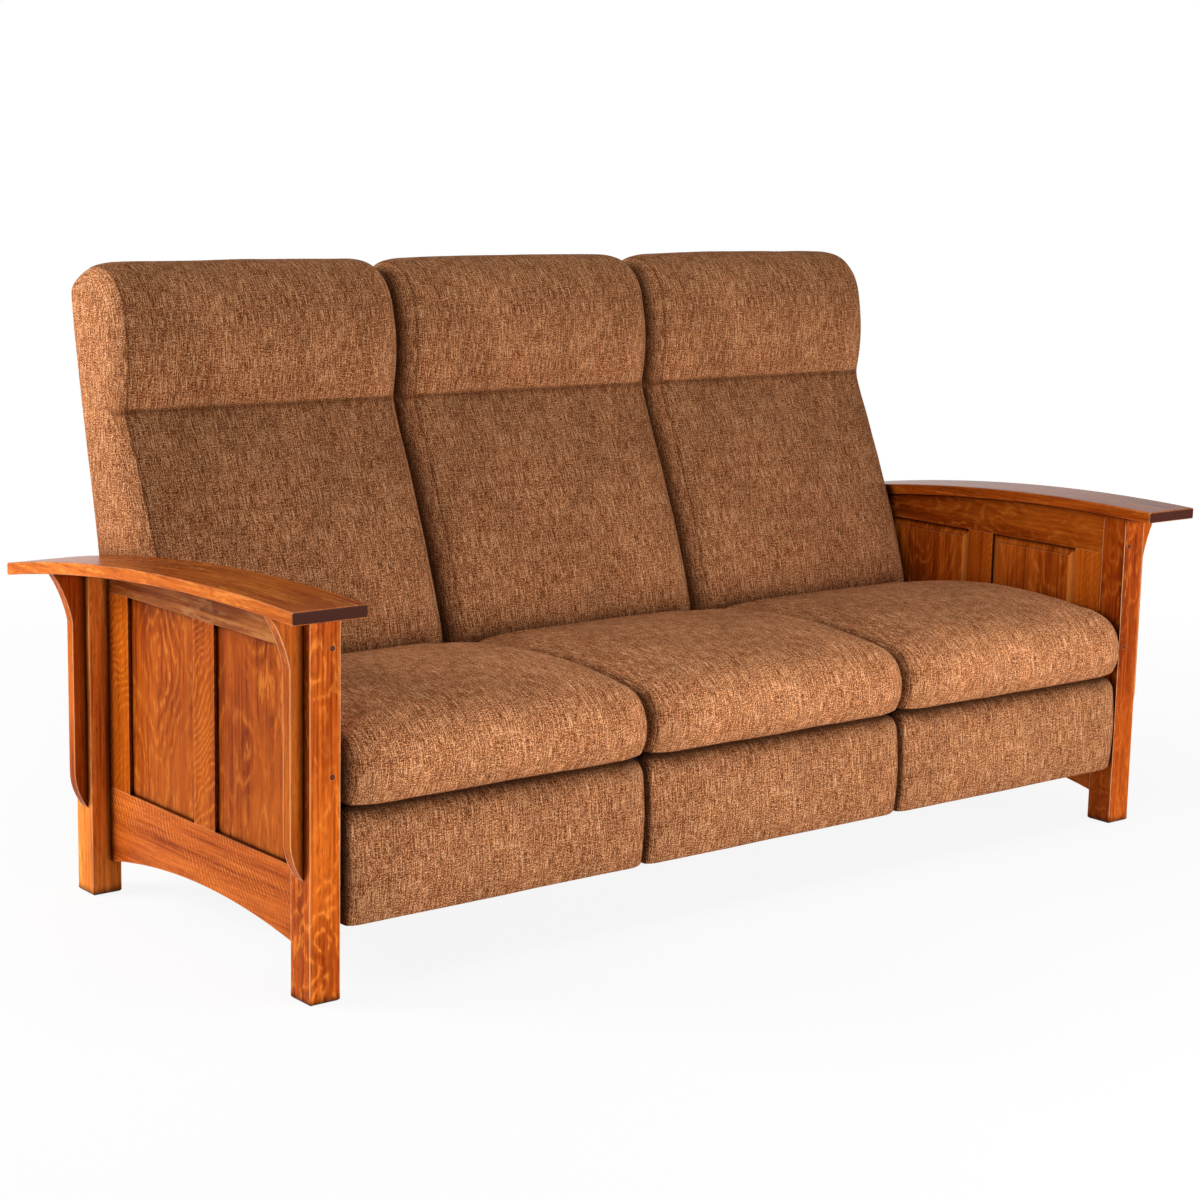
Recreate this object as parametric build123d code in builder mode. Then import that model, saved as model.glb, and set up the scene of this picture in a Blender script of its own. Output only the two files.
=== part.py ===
from build123d import *
import os
from math import atan2, cos, radians, sin, sqrt

os.makedirs("parts", exist_ok=True)

# A reclining sofa with three seats between two wooden bow-arm ends. Millimetres and degrees.
# The origin is on the floor under the middle of the whole: +X to the sitter's left, -Y to the front, +Z up.
# Every y below is counted back from the front face of the front posts, and every z from the floor.

# Overall sizes
width_over_posts = 2000.0
depth_over_posts = 790.0
post_size = 57.0
foot_chamfer = 3.0

# Bow arm board
arm_width = 139.0
arm_thickness = 22.0
arm_inner_overhang = 8.7
arm_front_overhang = 66.0
arm_rear_overhang = 117.0
arm_radius = 4650.0
arm_peak_y = 122.0
arm_peak_height = 663.0
arm_edge_round = 3.0

# Side frame between the posts
rail_thickness = 18.0
rail_recess = 1.5
stile_width = 73.0
middle_stile_width = 70.0
top_rail_drop = 103.0
bottom_rail_top = 200.0
bottom_rail_end_height = 60.0
bottom_rail_arch_rise = 36.0

# Panels in the side frame
panel_recess = 7.0
panel_edge_thickness = 3.5
panel_field_rise = 7.0
panel_field_step = 2.0
panel_bevel = 17.0

# Corbels on the outer faces of the posts, their heights counted down from the arm's underside
corbel_thickness = 21.0
front_corbel_inset = 18.0
rear_corbel_inset = 15.0
corbel_shaft = 25.0
corbel_taper_share = 0.8
corbel_neck_reach = 38.0
corbel_top_reach = 62.0
corbel_tip_drop = 436.0
corbel_foot_length = 72.0
corbel_ogee_drop = 90.0
corbel_neck_drop = 46.0

# Pegs in the front faces of the front posts
peg_radius = 4.5
peg_depth = 9.0
peg_proud = 0.6
peg_in_from_inner = 15.0
upper_peg_drop = 83.0
lower_peg_drop = 291.0

# Stretchers, corner brackets and seat tracks
stretcher_thickness = 25.0
stretcher_bottom = 100.0
stretcher_height = 70.0
front_stretcher_clearance = 13.7
rear_stretcher_inset = 43.0
corner_bracket_leg = 40.0
corner_bracket_margin = 10.0
corner_bracket_steel = 3.0
track_width = 22.0
track_height = 20.0

# Seats, with heights above and below the top of the seat frame
seat_gap = 10.0
seat_row_gap = 12.0
seat_frame_inset = 35.0
seat_frame_front = 36.0
seat_frame_top = 317.0
seat_rail_thickness = 25.0
seat_rail_height = 55.0
soft_gap = 0.3

# Seat cushion
cushion_bottom_lift = 0.5
cushion_rear_y = 566.0
cushion_rear_overlap = 6.0
cushion_rear_rise = 110.0
cushion_crown_y = 190.0
cushion_crown_rise = 154.0
cushion_shoulder_reach = 5.0
cushion_shoulder_rise = 120.0
cushion_nose_reach = 32.0
cushion_nose_rise = 75.0
cushion_lip_reach = 4.0
cushion_side_round = 30.0
cushion_side_draw = 13.0

# Sinuous springs under the seat cushion
spring_count = 4
spring_side_margin = 70.0
spring_wire_radius = 2.0
spring_drop = 6.0
spring_half_width = 24.0
spring_lead = 42.0
spring_turn_count = 16
spring_bend_share = 0.46

# Back, with reaches behind its lower front face and drops below its top
back_side_inset = 1.0
back_gap = 4.0
back_lift = 13.0
back_tuck_rise = 98.0
back_height = 803.0
back_seam_reach = 177.0
back_seam_below_roll = 8.0
back_lumbar_bulge = 11.0
head_roll_start_reach = 174.0
head_roll_front_reach = 181.0
head_roll_front_drop = 81.0
head_roll_height = 168.0
head_roll_bulge = 7.0
back_top_reach = 278.0
back_rear_reach = 366.0
back_rear_drop = 47.0
back_rear_bottom_reach = 217.0
back_side_round = 30.0
back_side_draw = 13.0

# Wooden frame inside the back, measured in from the rear face and up the slope from the back's rear foot
back_frame_thickness = 30.0
back_frame_cover = 15.0
back_frame_rail = 25.0
back_frame_foot = 46.0
back_frame_top_cover = 30.5
back_rail_depth = 60.0
back_rail_shares = (0.0, 0.339, 0.656, 1.0)

# Mechanism: flat steel in layers, counted outward from the seat frame's side
steel = 3.0
layer_gap = 1.0
link_half_width = 9.0
pin_radius = 4.0
pin_play = 0.05
open_pivot_play = 0.3
head_radius = 6.5
head_thickness = 2.0
side_plate_drop = 1.0
side_plate_height = 66.0
side_plate_setback = 20.0
side_plate_corner = 8.0
side_leg_length = 216.0
shoe_gap = 0.3
recline_setback = 30.0
recline_drop = 17.0
recline_boss = 16.0
bracket_end_share = 0.4
bracket_foot_drop = 25.0
bracket_rise = 170.0

# Footrest linkage: two parallelograms, one on the side plate and one on the drive link
drive_setback = 74.0
drive_drop = 33.0
guide_ahead = 40.0
guide_up = 18.0
drive_length = 185.0
drive_rest_angle = 23.0
hook_setback = 26.0
hook_drop = 87.0
tie_arm = 55.0
tie_angle = 100.0

# Footrest
footrest_gap = 6.0
footrest_thickness = 45.0
footrest_drop = 2.0
footrest_height = 196.0
footrest_edge = 12.0
footrest_crown = 5.0
footrest_side_draw = 7.0
board_thickness = 12.0
board_side_inset = 24.0
board_edge_inset = 14.0
footrest_bracket_flange = 26.0
footrest_bracket_drop = 20.0
footrest_bracket_height = 76.0

# One overrun for all cuts
overrun = 5.0

# Places of the ends that follow from the sizes above
half_width = width_over_posts / 2
post_inner = half_width - post_size
arm_inner = post_inner - arm_inner_overhang
arm_centre_height = arm_peak_height - arm_radius
underside_radius = arm_radius - arm_thickness
rear_post_y = depth_over_posts - post_size
rail_inner = post_inner + rail_recess
rail_outer = rail_inner + rail_thickness
frame_front = post_size
frame_rear = rear_post_y
top_rail_underside = arm_peak_height - top_rail_drop
peg_heights = (arm_peak_height - lower_peg_drop, arm_peak_height - upper_peg_drop)

# Places of the seats and backs that follow
seat_names = ("left", "middle", "right")
seat_pitch = (2 * (post_inner - seat_row_gap) + seat_gap) / len(seat_names)
seat_shifts = (seat_pitch, 0, -seat_pitch)
seat_width = seat_pitch - seat_gap
back_width = seat_width - 2 * back_side_inset
seat_frame_width = seat_width - 2 * seat_frame_inset
seat_frame_bottom = seat_frame_top - seat_rail_height
seat_frame_rear = cushion_rear_y - cushion_rear_overlap
back_front_y = cushion_rear_y + back_gap
back_bottom = seat_frame_top + back_lift
back_top_height = back_bottom + back_height
back_rear_y = back_front_y + back_rear_reach
back_rear_height = back_top_height - back_rear_drop
back_rear_bottom_y = back_front_y + back_rear_bottom_reach
back_slope = atan2(back_rear_y - back_rear_bottom_y, back_rear_height - back_bottom)
back_frame_rise = (back_rear_height - back_bottom) / cos(back_slope) - back_frame_top_cover
front_y = -(max(back_rear_y, depth_over_posts + arm_rear_overhang) - arm_front_overhang) / 2

# Places of the base and the mechanism that follow
stretcher_top = stretcher_bottom + stretcher_height
rear_stretcher_y = rear_post_y - rear_stretcher_inset
plate_x = seat_frame_width / 2
layer_1 = plate_x + steel + layer_gap
layer_2 = layer_1 + steel + layer_gap
layer_3 = layer_2 + steel + layer_gap
back_frame_width = 2 * layer_1
back_frame_middle = back_frame_cover + back_frame_thickness / 2
bracket_end_radius = bracket_end_share * back_frame_thickness
recline_pivot = (back_front_y + recline_setback, seat_frame_top - recline_drop)
side_plate_top = seat_frame_top - side_plate_drop
side_plate_bottom = side_plate_top - side_plate_height
side_plate_front = seat_frame_front + side_plate_setback
side_plate_rear = recline_pivot[0] + recline_boss
side_leg_front = side_plate_rear - side_leg_length
shoe_height = stretcher_top + track_height + shoe_gap
pin_reach = layer_gap + steel + layer_gap / 2
drive_pivot = (seat_frame_front + drive_setback, seat_frame_top - drive_drop)
guide_pivot = (drive_pivot[0] - guide_ahead, drive_pivot[1] + guide_up)
drive_end = (
    drive_pivot[0] + drive_length * sin(radians(drive_rest_angle)),
    drive_pivot[1] - drive_length * cos(radians(drive_rest_angle)),
)
guide_end = (drive_end[0] - guide_ahead, drive_end[1] + guide_up)
front_stretcher_y = drive_end[0] + link_half_width + front_stretcher_clearance
footrest_rear = seat_frame_front - footrest_gap
footrest_front = footrest_rear - footrest_thickness
footrest_top = seat_frame_top - footrest_drop
footrest_bottom = footrest_top - footrest_height
footrest_bracket_top = seat_frame_top - footrest_bracket_drop
footrest_bracket_bottom = footrest_bracket_top - footrest_bracket_height
hook_pivot = (footrest_rear + hook_setback, seat_frame_top - hook_drop)
tie_back = tie_arm * cos(radians(tie_angle))
tie_up = tie_arm * sin(radians(tie_angle))
tie_start = (drive_end[0] + tie_back, drive_end[1] + tie_up)
tie_end = (hook_pivot[0] + tie_back, hook_pivot[1] + tie_up)


def profile_plane(x):
    """The upright plane across x: its first axis is y from the posts' front face, its second is z."""
    return Plane(origin=(x, front_y, 0), x_dir=(0, 1, 0), z_dir=(1, 0, 0))


def face_plane(y):
    """The upright plane at y that looks to the front: its first axis is x, its second is z."""
    return Plane(origin=(0, front_y + y, 0), x_dir=(1, 0, 0), z_dir=(0, -1, 0))


def level_plane(z):
    """The level plane at z: its first axis is x, its second is y from the posts' front face."""
    return Plane(origin=(0, front_y, z), x_dir=(1, 0, 0), z_dir=(0, 0, 1))


def arc_height(radius, y):
    """Height of the arm's arc of this radius at y."""
    return arm_centre_height + sqrt(radius ** 2 - (y - arm_peak_y) ** 2)


def save(piece, name):
    """Label a finished piece and write it."""
    piece.part.label = name
    export_step(piece.part, f"parts/{name}.step")


def save_both_ends(piece, name):
    """Write a piece of the left end, and its mirror image for the right end."""
    save(piece, f"left_{name}")
    with BuildPart() as mirrored:
        mirror(piece.part, about=Plane.YZ)
    save(mirrored, f"right_{name}")


def under_arm_outline(y_low, y_high, z_low):
    """The outline from z_low up to the arm's underside, between two places along the arm."""
    y_mid = (y_low + y_high) / 2
    tops = [(y, arc_height(underside_radius, y)) for y in (y_low, y_mid, y_high)]
    with BuildLine() as outline:
        Polyline(tops[0], (y_low, z_low), (y_high, z_low), tops[2])
        ThreePointArc(*tops)
    return outline.line


# The wooden ends, made for the left and mirrored for the right

def make_post(y_low):
    """A square post up to the arm's underside, with a chamfered foot."""
    with BuildPart() as post:
        with BuildSketch(profile_plane(post_inner)):
            make_face(under_arm_outline(y_low, y_low + post_size, 0))
        extrude(amount=post_size)
        chamfer(post.faces().sort_by(Axis.Z)[0].edges(), foot_chamfer)
    return post


def make_front_post():
    """The front post, bored for its pegs."""
    with BuildPart() as post:
        add(make_post(0).part)
        with BuildSketch(face_plane(0)):
            with Locations(*[(post_inner + peg_in_from_inner, z) for z in peg_heights]):
                Circle(peg_radius)
        extrude(amount=-peg_depth, mode=Mode.SUBTRACT)
    return post


def make_pegs():
    """The pegs of both front posts."""
    places = [(side * (post_inner + peg_in_from_inner), z) for side in (1, -1) for z in peg_heights]
    with BuildPart() as pegs:
        with BuildSketch(face_plane(-peg_proud)):
            with Locations(*places):
                Circle(peg_radius)
        extrude(amount=-(peg_depth + peg_proud))
    return pegs


def make_arm():
    """The bowed arm board, an arc of even thickness with rounded edges."""
    y_low = -arm_front_overhang
    y_high = depth_over_posts + arm_rear_overhang
    y_mid = (y_low + y_high) / 2
    tops = [(y, arc_height(arm_radius, y)) for y in (y_low, y_mid, y_high)]
    lows = [(y, arc_height(underside_radius, y)) for y in (y_low, y_mid, y_high)]
    with BuildPart() as arm:
        with BuildSketch(profile_plane(arm_inner)):
            with BuildLine():
                ThreePointArc(*tops)
                ThreePointArc(*lows)
                Line(tops[0], lows[0])
                Line(tops[2], lows[2])
            make_face()
        extrude(amount=arm_width)
        fillet(arm.edges(), arm_edge_round)
    return arm


def make_top_rail():
    """The top rail, straight below and following the arm above."""
    with BuildPart() as rail:
        with BuildSketch(profile_plane(rail_inner)):
            make_face(under_arm_outline(frame_front, frame_rear, top_rail_underside))
        extrude(amount=rail_thickness)
    return rail


def make_bottom_rail():
    """The bottom rail, with an arched lower edge."""
    y_mid = (frame_front + frame_rear) / 2
    low_front = (frame_front, bottom_rail_end_height)
    low_rear = (frame_rear, bottom_rail_end_height)
    with BuildPart() as rail:
        with BuildSketch(profile_plane(rail_inner)):
            with BuildLine():
                ThreePointArc(low_front, (y_mid, bottom_rail_end_height + bottom_rail_arch_rise), low_rear)
                Polyline(low_rear, (frame_rear, bottom_rail_top), (frame_front, bottom_rail_top), low_front)
            make_face()
        extrude(amount=rail_thickness)
    return rail


def frame_spans():
    """Front and rear edges of the stiles, and of the panels between them."""
    y_mid = (frame_front + frame_rear) / 2
    front_stile = (frame_front, frame_front + stile_width)
    middle_stile = (y_mid - middle_stile_width / 2, y_mid + middle_stile_width / 2)
    rear_stile = (frame_rear - stile_width, frame_rear)
    stiles = (front_stile, middle_stile, rear_stile)
    panels = ((front_stile[1], middle_stile[0]), (middle_stile[1], rear_stile[0]))
    return stiles, panels


def make_stiles():
    """The stiles of both ends."""
    z_mid = (bottom_rail_top + top_rail_underside) / 2
    with BuildPart() as stiles:
        with BuildSketch(profile_plane(rail_inner)):
            for low, high in frame_spans()[0]:
                with Locations(((low + high) / 2, z_mid)):
                    Rectangle(high - low, top_rail_underside - bottom_rail_top)
        extrude(amount=rail_thickness)
        mirror(about=Plane.YZ)
    return stiles


def make_panels():
    """The panels of both ends: flat outside, and inside a raised field with a step and a bevel round it."""
    z_mid = (bottom_rail_top + top_rail_underside) / 2
    panel_height = top_rail_underside - bottom_rail_top
    outer_face = rail_outer - panel_recess
    bevel_foot = outer_face - panel_edge_thickness
    field_face = bevel_foot - panel_field_rise
    with BuildPart() as panels:
        for low, high in frame_spans()[1]:
            middle = ((low + high) / 2, z_mid)
            field_size = (high - low - 2 * panel_bevel, panel_height - 2 * panel_bevel)
            with BuildSketch(profile_plane(bevel_foot)):
                with Locations(middle):
                    Rectangle(high - low, panel_height)
            extrude(amount=panel_edge_thickness)
            with BuildSketch(profile_plane(bevel_foot)):
                with Locations(middle):
                    Rectangle(high - low, panel_height)
            with BuildSketch(profile_plane(field_face + panel_field_step)):
                with Locations(middle):
                    Rectangle(*field_size)
            loft()
            with BuildSketch(profile_plane(field_face)):
                with Locations(middle):
                    Rectangle(*field_size)
            extrude(amount=panel_field_step)
        mirror(about=Plane.YZ)
    return panels


def make_corbels():
    """Four long ogee corbels, one on the outer face of each post, cut off along the arm's underside."""
    with BuildPart() as corbels:
        for y_low in (front_corbel_inset, rear_post_y + rear_corbel_inset):
            top = arc_height(underside_radius, y_low)
            tip = (half_width, top - corbel_tip_drop)
            taper = (half_width + corbel_taper_share * corbel_shaft, tip[1] + corbel_foot_length / 2)
            shaft_bottom = (half_width + corbel_shaft, tip[1] + corbel_foot_length)
            shaft_top = (half_width + corbel_shaft, top - corbel_ogee_drop)
            neck = (half_width + corbel_neck_reach, top - corbel_neck_drop)
            crest = (half_width + corbel_top_reach, top)
            above = (half_width + corbel_top_reach, top + overrun)
            with BuildSketch(face_plane(y_low)):
                with BuildLine():
                    ThreePointArc(tip, taper, shaft_bottom)
                    Line(shaft_bottom, shaft_top)
                    ThreePointArc(shaft_top, neck, crest)
                    Polyline(crest, above, (half_width, top + overrun), tip)
                make_face()
            extrude(amount=-corbel_thickness)
        with BuildSketch(profile_plane(half_width)):
            make_face(under_arm_outline(0, depth_over_posts, 0))
        extrude(amount=corbel_top_reach + overrun, mode=Mode.INTERSECT)
        mirror(about=Plane.YZ)
    return corbels


# The base between the ends

def make_stretchers():
    """Front and rear cross stretchers, from one bottom rail to the other."""
    z_mid = (stretcher_bottom + stretcher_top) / 2
    with BuildPart() as stretchers:
        for y_low in (front_stretcher_y, rear_stretcher_y):
            with BuildSketch(face_plane(y_low)):
                with Locations((0, z_mid)):
                    Rectangle(2 * rail_inner, stretcher_height)
            extrude(amount=-stretcher_thickness)
    return stretchers


def make_corner_brackets():
    """Steel angles that tie the stretchers to the bottom rails, between the two stretchers."""
    z_low = stretcher_bottom + corner_bracket_margin
    corners = ((front_stretcher_y + stretcher_thickness, 1), (rear_stretcher_y, -1))
    with BuildPart() as brackets:
        for y, toward in corners:
            with BuildSketch(level_plane(z_low)):
                with BuildLine():
                    Polyline(
                        (rail_inner, y),
                        (rail_inner - corner_bracket_leg, y),
                        (rail_inner - corner_bracket_leg, y + toward * corner_bracket_steel),
                        (rail_inner - corner_bracket_steel, y + toward * corner_bracket_steel),
                        (rail_inner - corner_bracket_steel, y + toward * corner_bracket_leg),
                        (rail_inner, y + toward * corner_bracket_leg),
                        close=True,
                    )
                make_face()
            extrude(amount=stretcher_height - 2 * corner_bracket_margin)
        mirror(about=Plane.YZ)
    return brackets


def make_tracks():
    """Two steel tracks under each seat, lying on both stretchers."""
    y_low = front_stretcher_y
    y_high = rear_stretcher_y + stretcher_thickness
    track_x = plate_x + steel - track_width / 2
    places = [(shift + side * track_x, (y_low + y_high) / 2) for shift in seat_shifts for side in (1, -1)]
    with BuildPart() as tracks:
        with BuildSketch(level_plane(stretcher_top)):
            with Locations(*places):
                Rectangle(track_width, y_high - y_low)
        extrude(amount=track_height)
    return tracks


# One seat, made in the middle of the sofa

def make_seat_frame():
    """A box of four rails under the cushion."""
    y_mid = (seat_frame_front + seat_frame_rear) / 2
    depth = seat_frame_rear - seat_frame_front
    with BuildPart() as frame:
        with BuildSketch(level_plane(seat_frame_bottom)):
            with Locations((0, y_mid)):
                Rectangle(seat_frame_width, depth)
                Rectangle(
                    seat_frame_width - 2 * seat_rail_thickness,
                    depth - 2 * seat_rail_thickness,
                    mode=Mode.SUBTRACT,
                )
        extrude(amount=seat_frame_top - seat_frame_bottom)
    return frame


def make_seat_springs():
    """Sinuous springs from the front rail to the rear rail."""
    y_low = seat_frame_front + seat_rail_thickness
    y_high = seat_frame_rear - seat_rail_thickness
    pitch = (y_high - y_low - 2 * spring_lead) / (spring_turn_count - 1)
    inner_half_width = seat_frame_width / 2 - seat_rail_thickness - spring_side_margin
    height = seat_frame_top - spring_drop
    with BuildPart() as springs:
        for index in range(spring_count):
            x_mid = inner_half_width * (2 * index / (spring_count - 1) - 1)
            points = [(x_mid, front_y + y_low, height)]
            side = 1
            for turn in range(spring_turn_count):
                y = front_y + y_low + spring_lead + turn * pitch
                start = x_mid if turn == 0 else x_mid - side * spring_half_width
                end = x_mid if turn == spring_turn_count - 1 else x_mid + side * spring_half_width
                points.append((start, y, height))
                points.append((end, y, height))
                side = -side
            points.append((x_mid, front_y + y_high, height))
            with BuildLine() as route:
                FilletPolyline(*points, radius=spring_bend_share * pitch)
            with BuildSketch(Plane(origin=route.line @ 0, z_dir=route.line % 0)):
                Circle(spring_wire_radius)
            sweep(path=route.line)
    return springs


def seat_cushion_outline(draw):
    """The seat cushion's outline from the side, drawn in by this much in front, on top and at the nose."""
    bottom = seat_frame_top + cushion_bottom_lift
    rear_low = (cushion_rear_y, bottom)
    rear_high = (cushion_rear_y, seat_frame_top + cushion_rear_rise - draw)
    crown = (cushion_crown_y, seat_frame_top + cushion_crown_rise - draw)
    shoulder = (draw - cushion_shoulder_reach, seat_frame_top + cushion_shoulder_rise - draw)
    nose = (draw - cushion_nose_reach, seat_frame_top + cushion_nose_rise - draw / 2)
    lip = (draw / 2 - cushion_lip_reach, bottom)
    with BuildLine() as outline:
        Line(lip, rear_low)
        Line(rear_low, rear_high)
        ThreePointArc(rear_high, crown, shoulder)
        ThreePointArc(shoulder, nose, lip)
    return outline.line


def side_stations(width, side_round, draw):
    """Places across a soft piece and how far it is drawn in at each, from its left to its right."""
    edge = width / 2
    shallow = draw * (1 - cos(radians(45)))
    inner = side_round * (1 - sin(radians(45)))
    return (
        (-edge, draw),
        (-edge + inner, shallow),
        (-edge + side_round, 0),
        (edge - side_round, 0),
        (edge - inner, shallow),
        (edge, draw),
    )


def make_seat_cushion():
    """A crowned cushion with a waterfall front and sides that draw in."""
    with BuildPart() as cushion:
        for x, draw in side_stations(seat_width, cushion_side_round, cushion_side_draw):
            with BuildSketch(profile_plane(x)):
                make_face(seat_cushion_outline(draw))
        loft(ruled=True)
    return cushion


def pivot_at(y, z, x):
    """The plane of a pivot's face at x, centred on the pivot."""
    return Plane(origin=(x, front_y + y, z), x_dir=(0, 1, 0), z_dir=(1, 0, 0))


outward = (Align.CENTER, Align.CENTER, Align.MIN)


def add_pin(place, x, through):
    """A pin that stands out from a plate's outer face at x through the next plate, with its head."""
    with Locations(pivot_at(*place, x)):
        Cylinder(pin_radius, through, align=outward)
    with Locations(pivot_at(*place, x + through)):
        Cylinder(head_radius, head_thickness, align=outward)


def cut_bore(place, x, play):
    """A pivot hole through the plate that starts at x."""
    with Locations(pivot_at(*place, x)):
        Cylinder(pin_radius + play, steel, align=outward, mode=Mode.SUBTRACT)


def make_side_plates():
    """Steel plates on the seat frame's sides, with their pivot pins, legs and shoes on the tracks."""
    corner = min(side_plate_corner, (side_plate_bottom - shoe_height) / 2)
    with BuildPart() as plates:
        with BuildSketch(profile_plane(plate_x)) as outline:
            with BuildLine():
                Polyline(
                    (side_plate_front, side_plate_bottom),
                    (side_plate_front, side_plate_top),
                    (side_plate_rear, side_plate_top),
                    (side_plate_rear, shoe_height),
                    (side_leg_front, shoe_height),
                    (side_leg_front, side_plate_bottom),
                    close=True,
                )
            make_face()
            fillet(outline.vertices().sort_by(Axis.Y)[2:], corner)
        extrude(amount=steel)
        with BuildSketch(level_plane(shoe_height)):
            with Locations((plate_x + steel - track_width / 2, (side_leg_front + side_plate_rear) / 2)):
                Rectangle(track_width, side_plate_rear - side_leg_front)
        extrude(amount=steel)
        for place in (drive_pivot, guide_pivot, recline_pivot):
            add_pin(place, plate_x + steel, pin_reach)
        mirror(about=Plane.YZ)
    return plates


def make_link(x, places, bores, pins):
    """A flat steel link and its mirror image: its bores as (place, play), its pins as places."""
    with BuildPart() as link:
        with BuildSketch(profile_plane(x)):
            with Locations(*places):
                Circle(link_half_width)
            make_hull()
        extrude(amount=steel)
        for place, play in bores:
            cut_bore(place, x, play)
        for place in pins:
            add_pin(place, x + steel, pin_reach)
        mirror(about=Plane.YZ)
    return link


def make_footrest_brackets():
    """Angle brackets on the back of the footrest board, hung on the coupler and tie links."""
    flange_high = layer_3 + steel
    z_mid = (footrest_bracket_bottom + footrest_bracket_top) / 2
    with BuildPart() as brackets:
        with BuildSketch(profile_plane(layer_3)):
            with Locations(hook_pivot, tie_end):
                Circle(link_half_width)
            with Locations((footrest_rear + hook_setback / 2, z_mid)):
                Rectangle(hook_setback, footrest_bracket_height)
            make_hull()
        extrude(amount=steel)
        with BuildSketch(face_plane(footrest_rear)):
            with Locations((flange_high - footrest_bracket_flange / 2, z_mid)):
                Rectangle(footrest_bracket_flange, footrest_bracket_height)
        extrude(amount=-steel)
        cut_bore(hook_pivot, layer_3, pin_play)
        cut_bore(tie_end, layer_3, open_pivot_play)
        mirror(about=Plane.YZ)
    return brackets


def make_footrest_board():
    """The plywood board let into the back of the footrest pad."""
    z_mid = (footrest_bottom + footrest_top) / 2
    with BuildPart() as board:
        with BuildSketch(face_plane(footrest_rear - board_thickness)):
            with Locations((0, z_mid)):
                Rectangle(
                    seat_width - 2 * board_side_inset,
                    footrest_top - footrest_bottom - 2 * board_edge_inset,
                )
        extrude(amount=-board_thickness)
    return board


def footrest_outline(draw):
    """The footrest pad's outline from the side, drawn in by this much in front, above and below."""
    low = footrest_bottom + draw
    high = footrest_top - draw
    front = footrest_front + draw + footrest_crown
    z_mid = (low + high) / 2
    face_low = (front, low + footrest_edge)
    face_high = (front, high - footrest_edge)
    with BuildLine() as outline:
        Line((footrest_rear, low), (footrest_rear, high))
        Line((footrest_rear, high), (front + footrest_edge, high))
        Line((front + footrest_edge, high), face_high)
        ThreePointArc(face_high, (front - footrest_crown, z_mid), face_low)
        Line(face_low, (front + footrest_edge, low))
        Line((front + footrest_edge, low), (footrest_rear, low))
    return outline.line


def make_footrest_pad():
    """The upholstered footrest, crowned in front, with a pocket behind for its board."""
    z_mid = (footrest_bottom + footrest_top) / 2
    with BuildPart() as pad:
        for x, draw in side_stations(seat_width, footrest_edge, footrest_side_draw):
            with BuildSketch(profile_plane(x)):
                make_face(footrest_outline(draw))
        loft(ruled=True)
        with BuildSketch(face_plane(footrest_rear - board_thickness)):
            with Locations((0, z_mid)):
                Rectangle(
                    seat_width - 2 * board_side_inset,
                    footrest_top - footrest_bottom - 2 * board_edge_inset,
                )
        extrude(amount=-(board_thickness + overrun), mode=Mode.SUBTRACT)
    return pad


# One back, made in the middle of the sofa

def slope_plane(x):
    """The upright plane across x: its first axis runs up the back's rear face, its second goes forward."""
    return Plane(
        origin=(x, front_y + back_rear_bottom_y, back_bottom),
        x_dir=(0, sin(back_slope), cos(back_slope)),
        z_dir=(1, 0, 0),
    )


def on_slope(rise, cover):
    """The y and z of a place this far up the rear face and this far in front of it."""
    return (
        back_rear_bottom_y + rise * sin(back_slope) - cover * cos(back_slope),
        back_bottom + rise * cos(back_slope) + cover * sin(back_slope),
    )


def back_outline(draw):
    """The back's outline from the side, drawn in by this much in front and on top."""
    foot_front = (back_front_y + draw, back_bottom)
    roll_start_height = back_top_height - head_roll_front_drop - head_roll_height
    tuck = (back_front_y + draw, back_bottom + back_tuck_rise)
    seam = (back_front_y + back_seam_reach + draw, roll_start_height - back_seam_below_roll)
    lumbar_slope = atan2(seam[0] - tuck[0], seam[1] - tuck[1])
    lumbar = (
        (tuck[0] + seam[0]) / 2 - back_lumbar_bulge * cos(lumbar_slope),
        (tuck[1] + seam[1]) / 2 + back_lumbar_bulge * sin(lumbar_slope),
    )
    roll_end_height = roll_start_height + head_roll_height
    roll_low = (back_front_y + head_roll_start_reach + draw, roll_start_height)
    roll_high = (back_front_y + head_roll_front_reach + draw, roll_end_height - draw / 2)
    roll_middle = (
        (roll_low[0] + roll_high[0]) / 2 - head_roll_bulge,
        (roll_low[1] + roll_high[1]) / 2,
    )
    top = (back_front_y + back_top_reach, back_top_height - draw)
    corner_lean = radians(45)
    shoulder = (
        top[0] - (top[0] - roll_high[0]) * sin(corner_lean),
        roll_high[1] + (top[1] - roll_high[1]) * cos(corner_lean),
    )
    rear_high = (back_rear_y, back_rear_height)
    rear_shoulder = (
        top[0] + (rear_high[0] - top[0]) * sin(corner_lean),
        rear_high[1] + (top[1] - rear_high[1]) * cos(corner_lean),
    )
    with BuildLine() as outline:
        Line(foot_front, tuck)
        ThreePointArc(tuck, lumbar, seam)
        Line(seam, roll_low)
        ThreePointArc(roll_low, roll_middle, roll_high)
        ThreePointArc(roll_high, shoulder, top)
        ThreePointArc(top, rear_shoulder, rear_high)
        Line(rear_high, (back_rear_bottom_y, back_bottom))
        Line((back_rear_bottom_y, back_bottom), foot_front)
    return outline.line


def back_rail_rises():
    """How far up the slope the middle of each cross rail lies, from the frame's foot to its top."""
    lowest = back_rail_depth / 2 - back_frame_foot
    highest = back_frame_rise - back_rail_depth / 2
    return [lowest + share * (highest - lowest) for share in back_rail_shares]


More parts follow.
